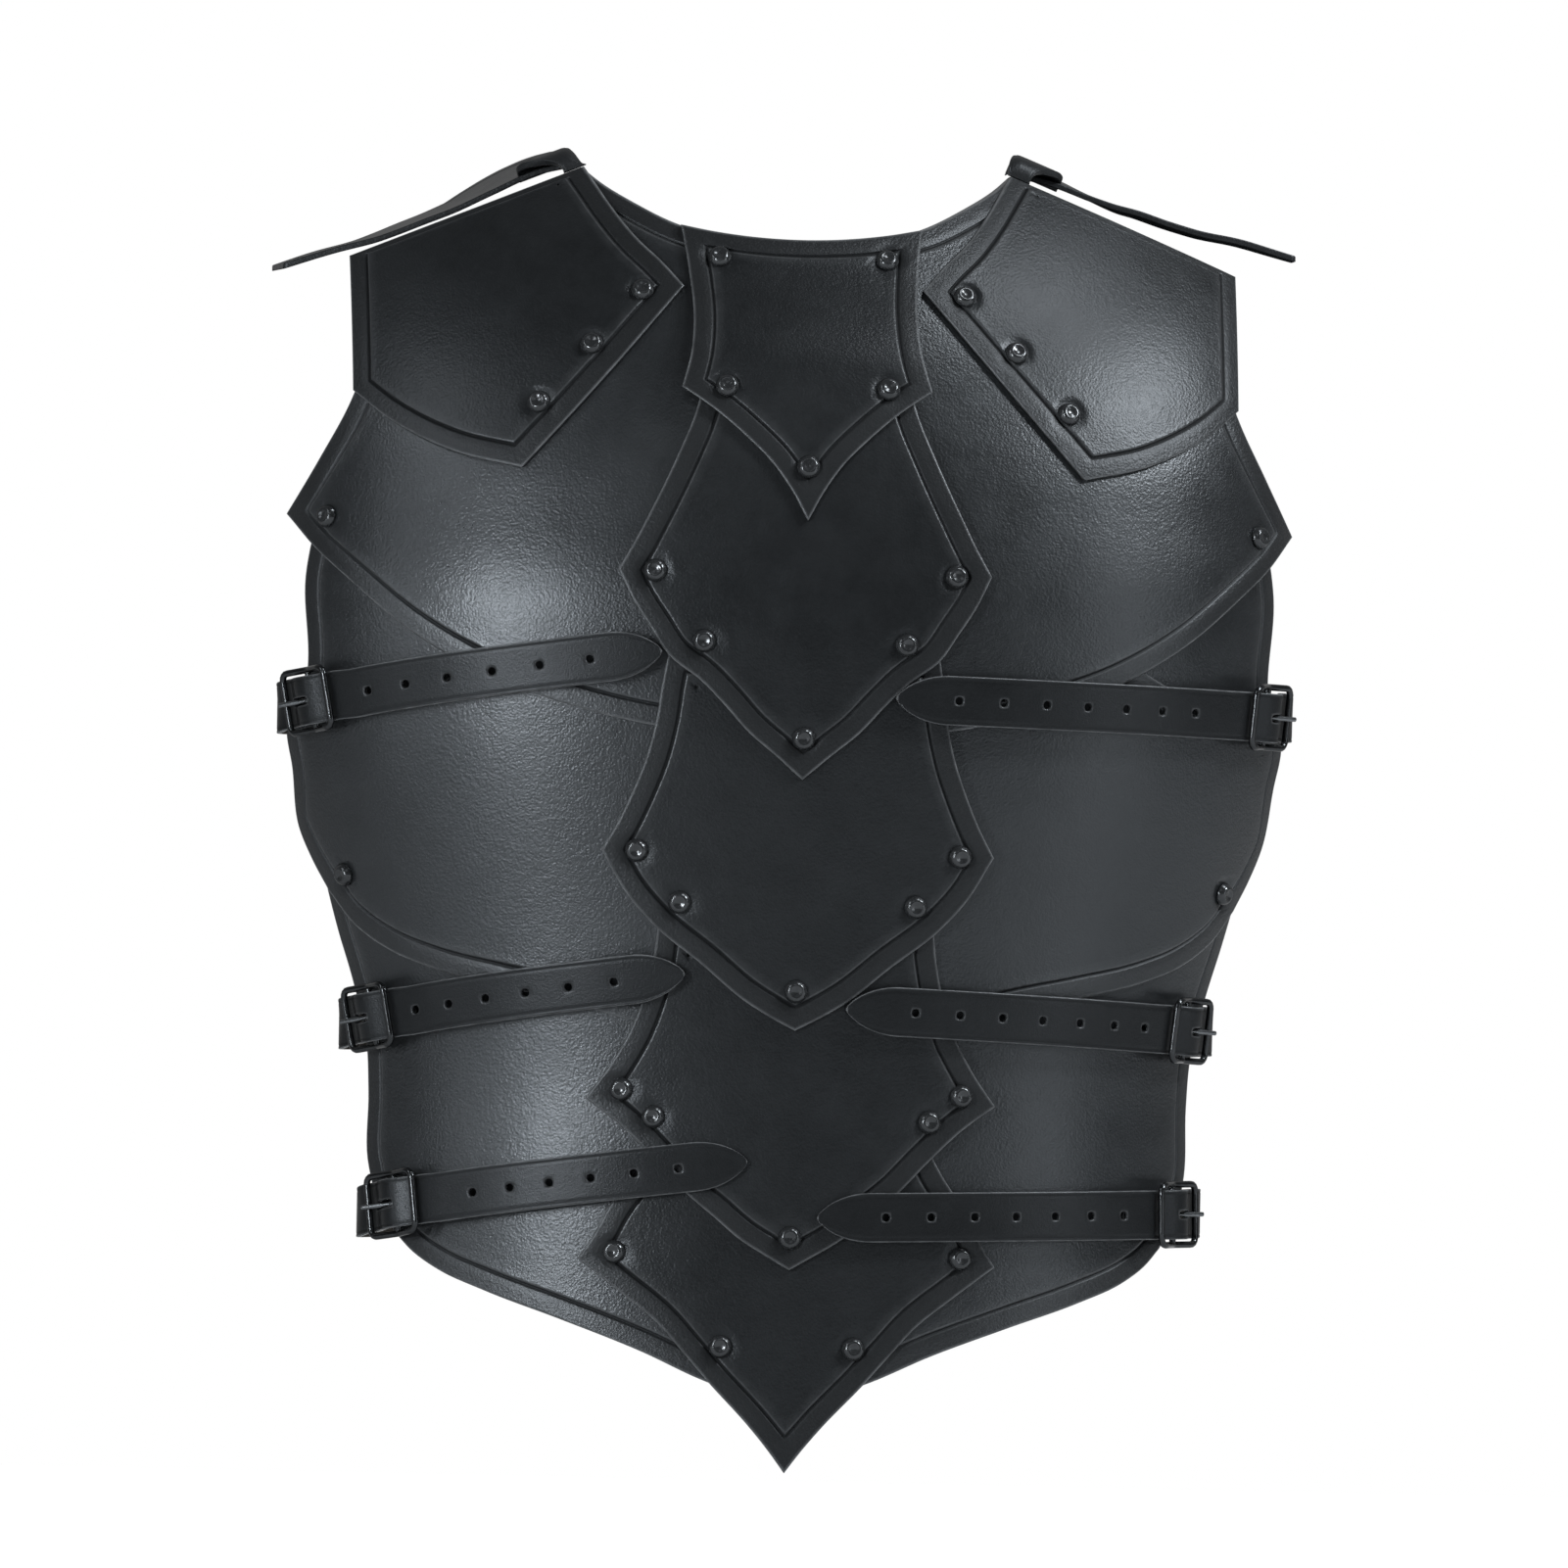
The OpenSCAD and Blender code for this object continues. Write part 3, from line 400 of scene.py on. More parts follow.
def write_piece(name: str, points: Array, faces: list | Array, finishes: list[bpy.types.Material],
                kind: Array | None = None, marks: Array | None = None, mirrored: bool = False
                ) -> bpy.types.Object:
    """Makes a mesh object at the origin from points in millimetres.

    Args:
        name: object name.
        points: places, shape (n, 3).
        faces: rows of point numbers that turn left seen from outside.
        finishes: its materials.
        kind: material number of each face.
        marks: edge, groove and band marks of each point; the edge mark paints a highlight with some wear, the
            groove mark paints shade.
        mirrored: the points were mirrored, so the faces are turned round.

    Returns:
        The object, smooth shaded.
    """
    rows = faces.tolist() if isinstance(faces, np.ndarray) else faces
    if mirrored:
        rows = [row[::-1] for row in rows]
    mesh = bpy.data.meshes.new(name)
    mesh.from_pydata((np.asarray(points) * MM).tolist(), [], rows)
    for finish in finishes:
        mesh.materials.append(finish)
    mesh.polygons.foreach_set("use_smooth", np.ones(len(rows), bool))
    if kind is not None:
        mesh.polygons.foreach_set("material_index", np.asarray(kind, np.int32))
    values = np.zeros((len(points), 4), np.float32)
    values[:, 3] = 1
    if marks is not None:
        values[:, :3] = marks
    layer = mesh.attributes.new("marks", "FLOAT_COLOR", "POINT")
    layer.data.foreach_set("color", values.ravel())
    mesh.update()
    piece = bpy.data.objects.new(name, mesh)
    bpy.context.scene.collection.objects.link(piece)
    log.info("%s: %d points, %d faces", name, len(points), len(rows))
    return piece


def settle(piece: bpy.types.Object, body: str, slot: str, *nodes: str) -> None:
    """Seats a piece on its body and hides the CAD nodes it stands for."""
    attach(piece, body)
    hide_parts(*nodes)


# Finishes


def connect(tree: bpy.types.NodeTree, node: bpy.types.Node, inputs: dict[str | int, object]
            ) -> bpy.types.Node:
    """Links sockets to a node's inputs, and sets the inputs whose value is plain."""
    for name, value in inputs.items():
        if isinstance(value, bpy.types.NodeSocket):
            tree.links.new(value, node.inputs[name])
        else:
            node.inputs[name].default_value = value
    return node


def add_node(tree: bpy.types.NodeTree, kind: str, inputs: dict[str | int, object], **settings: object
             ) -> bpy.types.Node:
    """Adds a shader node with its settings and its inputs."""
    node = tree.nodes.new(f"ShaderNode{kind}")
    for name, value in settings.items():
        setattr(node, name, value)
    return connect(tree, node, inputs)


def math_node(tree: bpy.types.NodeTree, kind: str, a: object, b: object, clamp: bool = False
              ) -> bpy.types.NodeSocket:
    """Result of a Math node on sockets or plain numbers."""
    return add_node(tree, "Math", {0: a, 1: b}, operation=kind, use_clamp=clamp).outputs[0]


def weighted(tree: bpy.types.NodeTree, *terms: tuple[bpy.types.NodeSocket, float]) -> bpy.types.NodeSocket:
    """Sum of sockets, each times its weight."""
    parts = [math_node(tree, "MULTIPLY", socket, weight) for socket, weight in terms]
    total = parts[0]
    for part in parts[1:]:
        total = math_node(tree, "ADD", total, part)
    return total


def mix_colour(tree: bpy.types.NodeTree, share: object, a: object, b: object) -> bpy.types.NodeSocket:
    """Result of a colour Mix node."""
    return add_node(tree, "Mix", {0: share, 6: a, 7: b}, data_type="RGBA").outputs[2]


def noise(tree: bpy.types.NodeTree, vector: bpy.types.NodeSocket, scale: object, detail: float = 3.0,
          rough: float = 0.55) -> bpy.types.NodeSocket:
    """Value of a Noise texture."""
    return add_node(tree, "TexNoise", {"Vector": vector, "Scale": scale, "Detail": detail,
                                       "Roughness": rough}).outputs["Fac"]


def new_group(name: str, inputs: dict[str, str], outputs: tuple[str, ...]
              ) -> tuple[bpy.types.NodeTree, dict[str, bpy.types.NodeSocket], bpy.types.Node]:
    """Starts a shader node group.

    Args:
        name: its name.
        inputs: names of its inputs, each with its kind of socket.
        outputs: names of its outputs, which are numbers except for Colour.

    Returns:
        The group, its inputs as sockets to link from, and its output node.
    """
    group = bpy.data.node_groups.new(name, "ShaderNodeTree")
    for label, kind in inputs.items():
        group.interface.new_socket(label, in_out="INPUT", socket_type=f"NodeSocket{kind}")
    for label in outputs:
        kind = "Color" if label == "Colour" else "Float"
        group.interface.new_socket(label, in_out="OUTPUT", socket_type=f"NodeSocket{kind}")
    start, end = group.nodes.new("NodeGroupInput"), group.nodes.new("NodeGroupOutput")
    return group, {label: start.outputs[label] for label in inputs}, end


def grain_group() -> bpy.types.NodeTree:
    """Leather grain: small cells and a fine noise for the height, broad patches for the tone."""
    group, given, end = new_group("leather_grain", {"Vector": "Vector", "Cell scale": "Float",
                                                    "Patch scale": "Float"}, ("Height", "Tone"))
    vector, cell_scale, patch_scale = given["Vector"], given["Cell scale"], given["Patch scale"]
    cells = add_node(group, "TexVoronoi", {"Vector": vector, "Scale": cell_scale}, feature="F1")
    fine = noise(group, vector, math_node(group, "MULTIPLY", cell_scale, 0.55), 4.0, 0.6)
    patch = noise(group, vector, patch_scale, 5.0, 0.68)
    broad = noise(group, vector, math_node(group, "MULTIPLY", patch_scale, 0.22), 2.0)
    tone = weighted(group, (patch, 1.1), (broad, 0.6), (fine, 0.5))
    connect(group, end, {
        "Height": weighted(group, (cells.outputs["Distance"], 0.35), (fine, 0.65), (patch, 0.75)),
        "Tone": math_node(group, "SUBTRACT", tone, 0.6, True)})
    return group


def tooling_group() -> bpy.types.NodeTree:
    """Colour and roughness of a worked sheet: cut edge lightened with noise, a painted highlight with some
    wear; groove darkened, a painted shade; plain field.
    """
    tones = ("Marks", "Dark", "Light", "Rubbed", "Groove", "Band")
    group, given, end = new_group(
        "tooled_leather", dict.fromkeys(tones, "Color") | {"Vector": "Vector"}
        | dict.fromkeys(("Tone", "Smooth", "Matt"), "Float"), ("Colour", "Roughness"))
    edge, groove, band = add_node(group, "SeparateColor", {0: given["Marks"]}).outputs
    # Edge mark times noise lightens the colour towards the edge colour: a painted highlight along cut edges
    # and lips, uneven like wear.
    edge_wear_and_highlight_noise = math_node(group, "MULTIPLY", noise(group, given["Vector"], 160.0, 4.0), 1.5, True)
    colour = mix_colour(group, given["Tone"], given["Dark"], given["Light"])
    colour = mix_colour(group, math_node(group, "MULTIPLY", band, 0.8), colour, given["Band"])
    colour = mix_colour(group, math_node(group, "MULTIPLY", edge_wear_and_highlight_noise, edge, True), colour, given["Rubbed"])
    rough = add_node(group, "MapRange", {"Value": given["Tone"], "To Min": given["Smooth"],
                                         "To Max": given["Matt"]}).outputs[0]
    # The groove mark darkens the colour towards the groove colour: painted shade.
    connect(group, end, {
        "Colour": mix_colour(group, groove, colour, given["Groove"]),
        "Roughness": weighted(group, (rough, 1.0), (edge, -0.08), (band, 0.03), (groove, 0.35))})
    return group


def metal_group() -> bpy.types.NodeTree:
    """Handled metal: tone and roughness from two noises, and a height for faint dents."""
    group, given, end = new_group(
        "handled_metal", {"Vector": "Vector", "Dark": "Color", "Light": "Color", "Smooth": "Float",
                          "Matt": "Float"}, ("Colour", "Roughness", "Height"))
    patch = noise(group, given["Vector"], 220.0, 4.0, 0.65)
    connect(group, end, {
        "Colour": mix_colour(group, patch, given["Dark"], given["Light"]),
        "Roughness": add_node(group, "MapRange", {"Value": patch, "To Min": given["Smooth"],
                                                  "To Max": given["Matt"]}).outputs[0],
        "Height": noise(group, given["Vector"], 1400.0, 2.0)})
    return group


def start_material(name: str) -> tuple[bpy.types.Material, bpy.types.NodeTree, bpy.types.NodeSocket]:
    """Starts a material and returns it with its tree and its object coordinates."""
    material = bpy.data.materials.new(name)
    material.use_nodes = True
    tree = material.node_tree
    return material, tree, add_node(tree, "TexCoord", {}).outputs["Object"]


def dress(tree: bpy.types.NodeTree, worked: bpy.types.Node, height: bpy.types.NodeSocket,
          bump: tuple[float, float], plain: dict[str, object]) -> None:
    """Feeds a material's shader: colour and roughness, bump of a strength and distance, plain values."""
    strength, distance = bump
    normal = add_node(tree, "Bump", {"Strength": strength, "Distance": distance, "Height": height})
    connect(tree, tree.nodes["Principled BSDF"], {
        "Base Color": worked.outputs["Colour"], "Roughness": worked.outputs["Roughness"],
        "Normal": normal.outputs[0]} | plain)


def grey(value: float, cool: float) -> tuple[float, float, float, float]:
    """Linear grey, cooler with a positive second value."""
    return (value * (1 - cool), value, value * (1 + cool), 1.0)


@dataclass(frozen=True)
class LeatherFinish:
    """Dyed and finished leather: dark and light of its field, lighter cut edge as a painted highlight with
    some wear, dark groove as painted shade, and gloss.
    """

    name: str
    dark: float
    light: float
    # Lighter colour of cut edges, groove lips and hole rims: a painted highlight with some wear.
    rubbed: float = 0.12
    # Near-black colour of the grooves: painted shade.
    groove: float = 0.002
    band: float = 0.012
    smooth: float = 0.25
    matt: float = 0.37
    cool: float = 0.09
    cells: float = 900.0
    patches: float = 45.0
    bump: float = 0.33
    specular: float = 0.5

    def build(self, groups: dict[str, bpy.types.NodeTree]) -> bpy.types.Material:
        """Makes the material from the shared groups."""
        material, tree, where = start_material(self.name)
        grain = add_node(tree, "Group", {"Vector": where, "Cell scale": self.cells,
                                         "Patch scale": self.patches}, node_tree=groups["grain"])
        marks = add_node(tree, "Attribute", {}, attribute_name="marks")
        tooled = add_node(tree, "Group", {
            "Marks": marks.outputs["Color"], "Tone": grain.outputs["Tone"], "Vector": where,
            "Dark": grey(self.dark, self.cool), "Light": grey(self.light, self.cool),
            "Rubbed": grey(self.rubbed, self.cool * 0.6), "Groove": grey(self.groove, self.cool),
            "Band": grey(self.band, self.cool * 0.7), "Smooth": self.smooth, "Matt": self.matt},
            node_tree=groups["tooling"])
        dress(tree, tooled, grain.outputs["Height"], (self.bump, 0.0006),
              {"Specular IOR Level": self.specular, "Specular Tint": grey(0.93, self.cool * 0.8)})
        return material


@dataclass(frozen=True)
class MetalFinish:
    """Blackened metal: dark and light of its tone, gloss and share of bare metal."""

    name: str
    dark: float
    light: float
    smooth: float
    matt: float
    metallic: float
    cool: float = 0.07

    def build(self, groups: dict[str, bpy.types.NodeTree]) -> bpy.types.Material:
        """Makes the material from the shared group."""
        material, tree, where = start_material(self.name)
        worn = add_node(tree, "Group", {
            "Vector": where, "Dark": grey(self.dark, self.cool), "Light": grey(self.light, self.cool),
            "Smooth": self.smooth, "Matt": self.matt}, node_tree=groups["metal"])
        dress(tree, worn, worn.outputs["Height"], (0.08, 0.0003), {"Metallic": self.metallic})
        return material


class Finishes:
    """All the finishes, each made once."""

    def __init__(self) -> None:
        """Builds the shared groups and the materials."""
        groups = {"grain": grain_group(), "tooling": tooling_group(), "metal": metal_group()}

        def leather(name: str, dark: float, light: float, **look: float) -> bpy.types.Material:
            """A leather's material."""
            return LeatherFinish(name, dark, light, **look).build(groups)

        self.shell = leather("shell_leather", 0.009, 0.017)
        self.panel = leather("panel_leather", 0.009, 0.017)
        self.plate = leather("plate_leather", 0.0065, 0.013, smooth=0.28, matt=0.4, specular=0.28)
        # The strap's lighter edges and tips are a painted highlight with some wear.
        self.strap = leather("strap_leather", 0.005, 0.011, rubbed=0.15, smooth=0.26, matt=0.38,
                             specular=0.22, cells=1300.0, bump=0.2)
        self.flesh = leather("flesh_side", 0.035, 0.055, smooth=0.8, matt=0.9, cool=-0.12, cells=600.0,
                             patches=90.0, bump=0.5, specular=0.2)
        # Near-black back of the flap lobes, much darker than the flesh side of the other sheets.
        self.flap_back = leather("dyed_back", 0.005, 0.01, smooth=0.9, matt=1.0, specular=0.0)
        self.rivet = MetalFinish("rivet_black", 0.04, 0.065, 0.15, 0.24, 0.7).build(groups)
        self.buckle = MetalFinish("buckle_gunmetal", 0.035, 0.06, 0.12, 0.2, 0.9).build(groups)
        self.tongue = MetalFinish("tongue_steel", 0.12, 0.2, 0.15, 0.25, 0.9).build(groups)


# Leather sheets


def pts(*values: float) -> Array:
    """Points from a plain row of numbers, two by two."""
    return np.array(values, float).reshape(-1, 2)


def mirror_back(points: Array) -> Array:
    """The same line on the left half, walked the other way."""
    return points[::-1] * [-1, 1]


@dataclass(frozen=True)
class RivetRow:
    """Rivets of one sheet: their node's name, their places on the right half, and the layer they hold."""

    name: str
    spots: tuple[tuple[float, float], ...]
    layer: Layer
    sides: tuple[Side, ...] = (Side.LEFT, Side.RIGHT)

    def places(self) -> list[tuple[float, float]]:
        """Every rivet's place, with both sides where it has them."""
        return [(x * s.value, z) for x, z in self.spots for s in self.sides
                if x > 0 or s is Side.RIGHT]


@dataclass
class LeatherSheet:
    """One sheet of leather laid over the torso form."""

    node: str
    layer: Layer
    sides: list[list[EdgeCurve]]
    thickness: float = SHEET_T
    tilt: float = 0.9
    nu: int = 56
    nv: int = 56
    mirrored: bool = False
    spots: tuple[tuple[float, float], ...] = ()
    border: Border = field(default_factory=Border)

    def outer(self, z: Array) -> Array:
        """Height of the outer face."""
        return self.layer(z) + self.thickness

    def length_table(self) -> tuple[Array, Array]:
        """Heights, and distances down the leaning leather at each."""
        z = np.linspace(20, -620, 1281)
        rate = np.sqrt(1 + (self.tilt * TORSO.lean_rate(z)) ** 2)
        down = np.concatenate([[0], np.cumsum((rate[1:] + rate[:-1]) / 2 * -np.diff(z))])
        return z, down

    def unrolled(self, places: Array) -> Array:
        """Distances along the leather: round it from the middle, and down it as a negative."""
        x, z = places[:, 0], places[:, 1]
        table_z, down = self.length_table()
        h = self.outer(z)
        return np.stack([TORSO.run(TORSO.angle(x, z, h), z, h),
                         -np.interp(-z, -table_z, down)], -1)

    def rolled(self, flat: Array) -> tuple[Array, Array]:
        """Angle and height of places given as distances along the leather."""
        table_z, down = self.length_table()
        z = np.interp(-flat[:, 1], down, table_z)
        return TORSO.angle_at_run(flat[:, 0], z, self.outer(z)), z

    def dimples(self, flat: Array) -> Array:
        """How far the leather is pressed in round each rivet: a soft ring just outside its cap."""
        press = np.zeros(len(flat))
        for centre in (self.unrolled(np.array(self.spots)) if self.spots else []):
            r = np.linalg.norm(flat - centre, axis=1)
            press = np.maximum(press, 0.8 * (1 - ease((r - 5.0) / 3.6)))
        return press

    def make(self, finish: bpy.types.Material, back: bpy.types.Material) -> bpy.types.Object:
        """Builds the closed sheet and returns its object."""
        net = sheet_net(self.sides, self.unrolled, self.nu, self.nv, self.border)
        a, z = self.rolled(net.at)
        inner = self.layer(z)
        edge = cut_edge(net)
        front = TORSO.on(a, z, inner + self.thickness + net.lift - self.dimples(net.at))
        behind = TORSO.on(a, z, inner - edge * 0.6)
        points = np.concatenate([front, behind])
        if self.mirrored:
            points = points * [-1, 1, 1]
        faces, kind = solid_faces(net.quads, len(front))
        marks = np.concatenate([net.marks, np.zeros_like(net.marks)])
        return write_piece(f"leather_{self.node}", points, faces, [finish, back], kind, marks, self.mirrored)


def shield(node: str, layer: Layer, side: Array, corner: int, dip: float,
           spots: tuple[tuple[float, float], ...]) -> LeatherSheet:
    """Centre plate from its right side's [height, half width] table, with a corner and a tip."""
    right = side[:, ::-1].copy()
    tip = right[-1] * [0, 1] + [0, -0.3]
    edge, low = right[:corner + 1], np.concatenate([right[corner:-1], [tip]])
    share = np.linspace(-1, 1, 9)
    top = np.stack([share * right[0, 0], right[0, 1] - dip * (1 - share**2)], -1)
    both = tuple((x * s, z) for x, z in spots for s in ((1, -1) if x else (1,)))
    return LeatherSheet(
        node, layer,
        [[EdgeCurve(top)], [EdgeCurve(edge)], [EdgeCurve(low), EdgeCurve(mirror_back(low))],
         [EdgeCurve(mirror_back(edge))]],
        nu=60, nv=44, tilt=0.97, spots=both)


COLLAR = Layer(OVER_RIB_H, OVER_PLATE_H, -48, 46)
BREAST = Layer(OVER_PANEL_H, OVER_PLATE_H, -163, 58)
MIDRIFF = Layer(OVER_PANEL_H, OVER_PANEL_H)
WAIST = Layer(OVER_RIB_H, OVER_RIB_H)
HEM = Layer(RIB_H, RIB_H)
SHOULDER = Layer(OVER_RIB_H, OVER_RIB_H)
PECTORAL = Layer(RIB_H, OVER_RIB_H, -150, 60)

# Corners of the shoulder's crest
CREST_IN, CREST_OUT = (97.0, -4.5), (200.5, -46.5)
SHOULDER_SPOTS = ((73.1, -60.6), (96.4, -85.4), (120.4, -112.1))

ROWS = {
    "collar": RivetRow("collar_rivets", ((38, -45), (37, -103.5), (0, -139.1)), COLLAR),
    "breast": RivetRow("breast_rivets", ((69, -186.6), (46.6, -217.6), (0, -260.1)), BREAST),
    "midriff": RivetRow("midriff_rivets", ((74, -311), (54, -333.8), (0, -372.4)), MIDRIFF),
    "waist": RivetRow("waist_rivets", ((77.4, -417.3), (62.9, -429.2), (0, -481.9)), WAIST),
    "hem": RivetRow("hem_rivets", ((78.3, -489.5), (30.1, -530.8)), HEM),
    "shoulder_left": RivetRow("shoulder_rivets_left", SHOULDER_SPOTS, SHOULDER, (Side.LEFT,)),
    "shoulder_right": RivetRow("shoulder_rivets_right", SHOULDER_SPOTS, SHOULDER, (Side.RIGHT,)),
    "pectoral": RivetRow("pectoral_rivets", ((210.2, -164.1),), PECTORAL),
    "rib": RivetRow("rib_rivets", ((198, -323.7),), Layer(RIB_H, RIB_H)),
}


class SheetWork:
    """The base shell and every sheet riveted on it."""

    def sheets(self) -> list[tuple[LeatherSheet, str]]:
        """Every sheet with its slot, from the shell outwards."""
        crest = pts(*CREST_IN, 194, -44)
        neck = pts(0, -38, 20, -37, 55, -30, 75, -20, 90, -10.5, *CREST_IN)
        flank = pts(194, -45, 195, -108, 204, -140, 215, -172, 217.8, -190, 216, -227, 217, -262, 210, -303,
                    199, -347, 192, -370, 185.4, -398, 184, -420, 183.5, -452, 179, -470, 172, -483)
        flank[0] = crest[-1]
        hem = pts(172, -483, 165, -491, 154, -499, 134, -508, 101, -520, 65, -533.6, 37, -546, 0, -557)
        hem_both = np.concatenate([hem, mirror_back(hem)[1:]])
        neck_both = np.concatenate([mirror_back(neck)[:-1], neck])
        base = LeatherSheet(
            "base_shell", Layer(0, 0),
            [[EdgeCurve(mirror_back(crest)), EdgeCurve(neck_both), EdgeCurve(crest)], [EdgeCurve(flank)],
             [EdgeCurve(hem_both)], [EdgeCurve(mirror_back(flank))]],
            thickness=BASE_T, nu=120, nv=120, tilt=0.6)
        result = [(base, "shell_leather")]
        for side in Side:
            result += [(self.rib_panel(side), "panel_leather"), (self.pectoral(side), "panel_leather"),
                       (self.shoulder_plate(side), "plate_leather")]
        result += [(plate, "plate_leather") for plate in self.centre_plates()]
        return result

    def pectoral(self, side: Side) -> LeatherSheet:
        """Chest panel: from under the centre plates to a pointed corner below the arm."""
        neck = pts(26, -36.3, 55, -30.5, 75, -20.5, 90, -11, 97, -5)
        crest = pts(97, -5, 193, -44.5)
        outer = pts(193, -44.5, 196, -100, 200.5, -112, 213, -137, 226.7, -163)
        low = pts(226.7, -163, 214, -180, 203, -191, 177, -214, 147, -232, 105, -247, 70, -255, 26, -259)
        return LeatherSheet(
            f"pectoral_{side.name.lower()}", PECTORAL,
            [[EdgeCurve(neck), EdgeCurve(crest)], [EdgeCurve(outer)], [EdgeCurve(low)],
             [EdgeCurve(pts(26, -259, 26, -36.3))]],
            nu=72, nv=64, tilt=0.7, mirrored=side is Side.LEFT, spots=ROWS["pectoral"].spots)

    def rib_panel(self, side: Side) -> LeatherSheet:
        """Rib panel: under the pectoral, with a long curved lower edge."""
        top = pts(50, -236, 100, -224, 147, -222, 172, -234, 219, -236)
        outer = pts(219, -236, 224, -258, 221, -276, 216.7, -303, 211, -317, 203.6, -331.4)
        low = pts(203.6, -331.4, 193, -346, 178, -357.4, 160, -365, 130, -372.5, 100, -379, 75, -386,
                  50, -390)
        return LeatherSheet(
            f"rib_panel_{side.name.lower()}", Layer(RIB_H, RIB_H),
            [[EdgeCurve(top)], [EdgeCurve(outer)], [EdgeCurve(low)], [EdgeCurve(pts(50, -390, 50, -236))]],
            nu=68, nv=56, tilt=1.0, mirrored=side is Side.LEFT, spots=ROWS["rib"].spots)

    def shoulder_plate(self, side: Side) -> LeatherSheet:
        """Shoulder plate: five corners, plain along the crest where its skin rolls over to the back."""
        crest = pts(*CREST_IN, *CREST_OUT)
        outer = pts(*CREST_OUT, 200.5, -107.7)
        low = pts(200.5, -107.7, 187, -119.3, 158, -134.6, 128, -141.6)
        slant = pts(128, -141.6, 90, -99.4, 54.4, -58.4)
        neck = pts(54.4, -58.4, 64, -47.5, 74.7, -37, 84, -25, 92, -12.4, *CREST_IN)
        return LeatherSheet(
            f"shoulder_plate_{side.name.lower()}", SHOULDER,
            [[EdgeCurve(crest, 0.25, 0.0)], [EdgeCurve(outer), EdgeCurve(low)], [EdgeCurve(slant)],
             [EdgeCurve(neck)]],
            nu=56, nv=64, tilt=0.8, mirrored=side is Side.LEFT, spots=ROWS["shoulder_right"].spots)

    def centre_plates(self) -> list[LeatherSheet]:
        """The five shield-shaped plates down the middle."""
        collar = pts(-30.4, 54.8, -50, 52.2, -71, 51.1, -88, 53, -104.3, 57.5, -114.3, 42.6, -126, 28.5,
                     -137.5, 16.7, -150, 7.5, -163, 0.6)
        breast = pts(-100, 46.5, -115, 50.8, -135, 59.2, -161, 71.7, -175, 79, -186.2, 85.6, -201, 78.3,
                     -212, 71, -224, 62.7, -235.5, 47.3, -246, 36.5, -257.6, 25.5, -268, 12.5, -278.2, 0.6)
        midriff = pts(-222, 62, -237, 64.6, -253.5, 66.9, -270, 71, -284, 76.3, -298, 82.6, -311, 89.8,
                      -330.5, 77.9, -344.6, 64.9, -361, 43.5, -377, 23.4, -384, 11.5, -389.5, 0.6)
        waist = pts(-341, 62.5, -358, 64.5, -376, 68.5, -390, 73.5, -407, 83, -421.5, 93.5, -433.5, 77.2,
                    -448, 62, -462.3, 48.1, -473, 35, -483.5, 22, -490, 11, -496, 0.6)
        hem = pts(-425, 58, -440, 62.5, -452, 69, -468, 80, -483.5, 88.3, -493, 94.6, -507, 76, -521.2, 58.1,
                  -534, 46.5, -546.2, 35.6, -566.5, 16.1, -576, 8, -586.2, 0.6)
        plates = {"collar": (collar, 4, 6), "breast": (breast, 5, 0), "midriff": (midriff, 6, 0),
                  "waist": (waist, 5, 0), "hem": (hem, 5, 0)}
        return [shield(f"{key}_plate", ROWS[key].layer, side, corner, dip, ROWS[key].spots)
                for key, (side, corner, dip) in plates.items()]

    def build(self, finishes: Finishes) -> None:
        """Makes and seats every sheet."""
        look = {"shell_leather": finishes.shell, "panel_leather": finishes.panel,
                "plate_leather": finishes.plate}
        for sheet, slot in self.sheets():
            settle(sheet.make(look[slot], finishes.flesh), BODY, slot, sheet.node)


# Straps: a strip with rounded edges, a pointed tip and holes, carried along a path


@dataclass(frozen=True)
class Hole:
    """A round hole or a slot along a strap: its middle line from one end to the other, and its radius."""

    start: float
    end: float
    radius: float


# Place and width of a strap's groove, as shares of its half width
STRAP_GROOVE_AT, STRAP_GROOVE_W = 0.865, 0.022
# Rows round a hole: share of the way from its rim to its cell's edge, lift and edge mark; the edge mark
# paints a light rim round the hole, a painted highlight.
HOLE_RIM = ((0.75, 0.0, 0.0), (0.35, 0.0, 0.0), (0.14, -0.06, 0.25), (0.0, -0.45, 0.1))


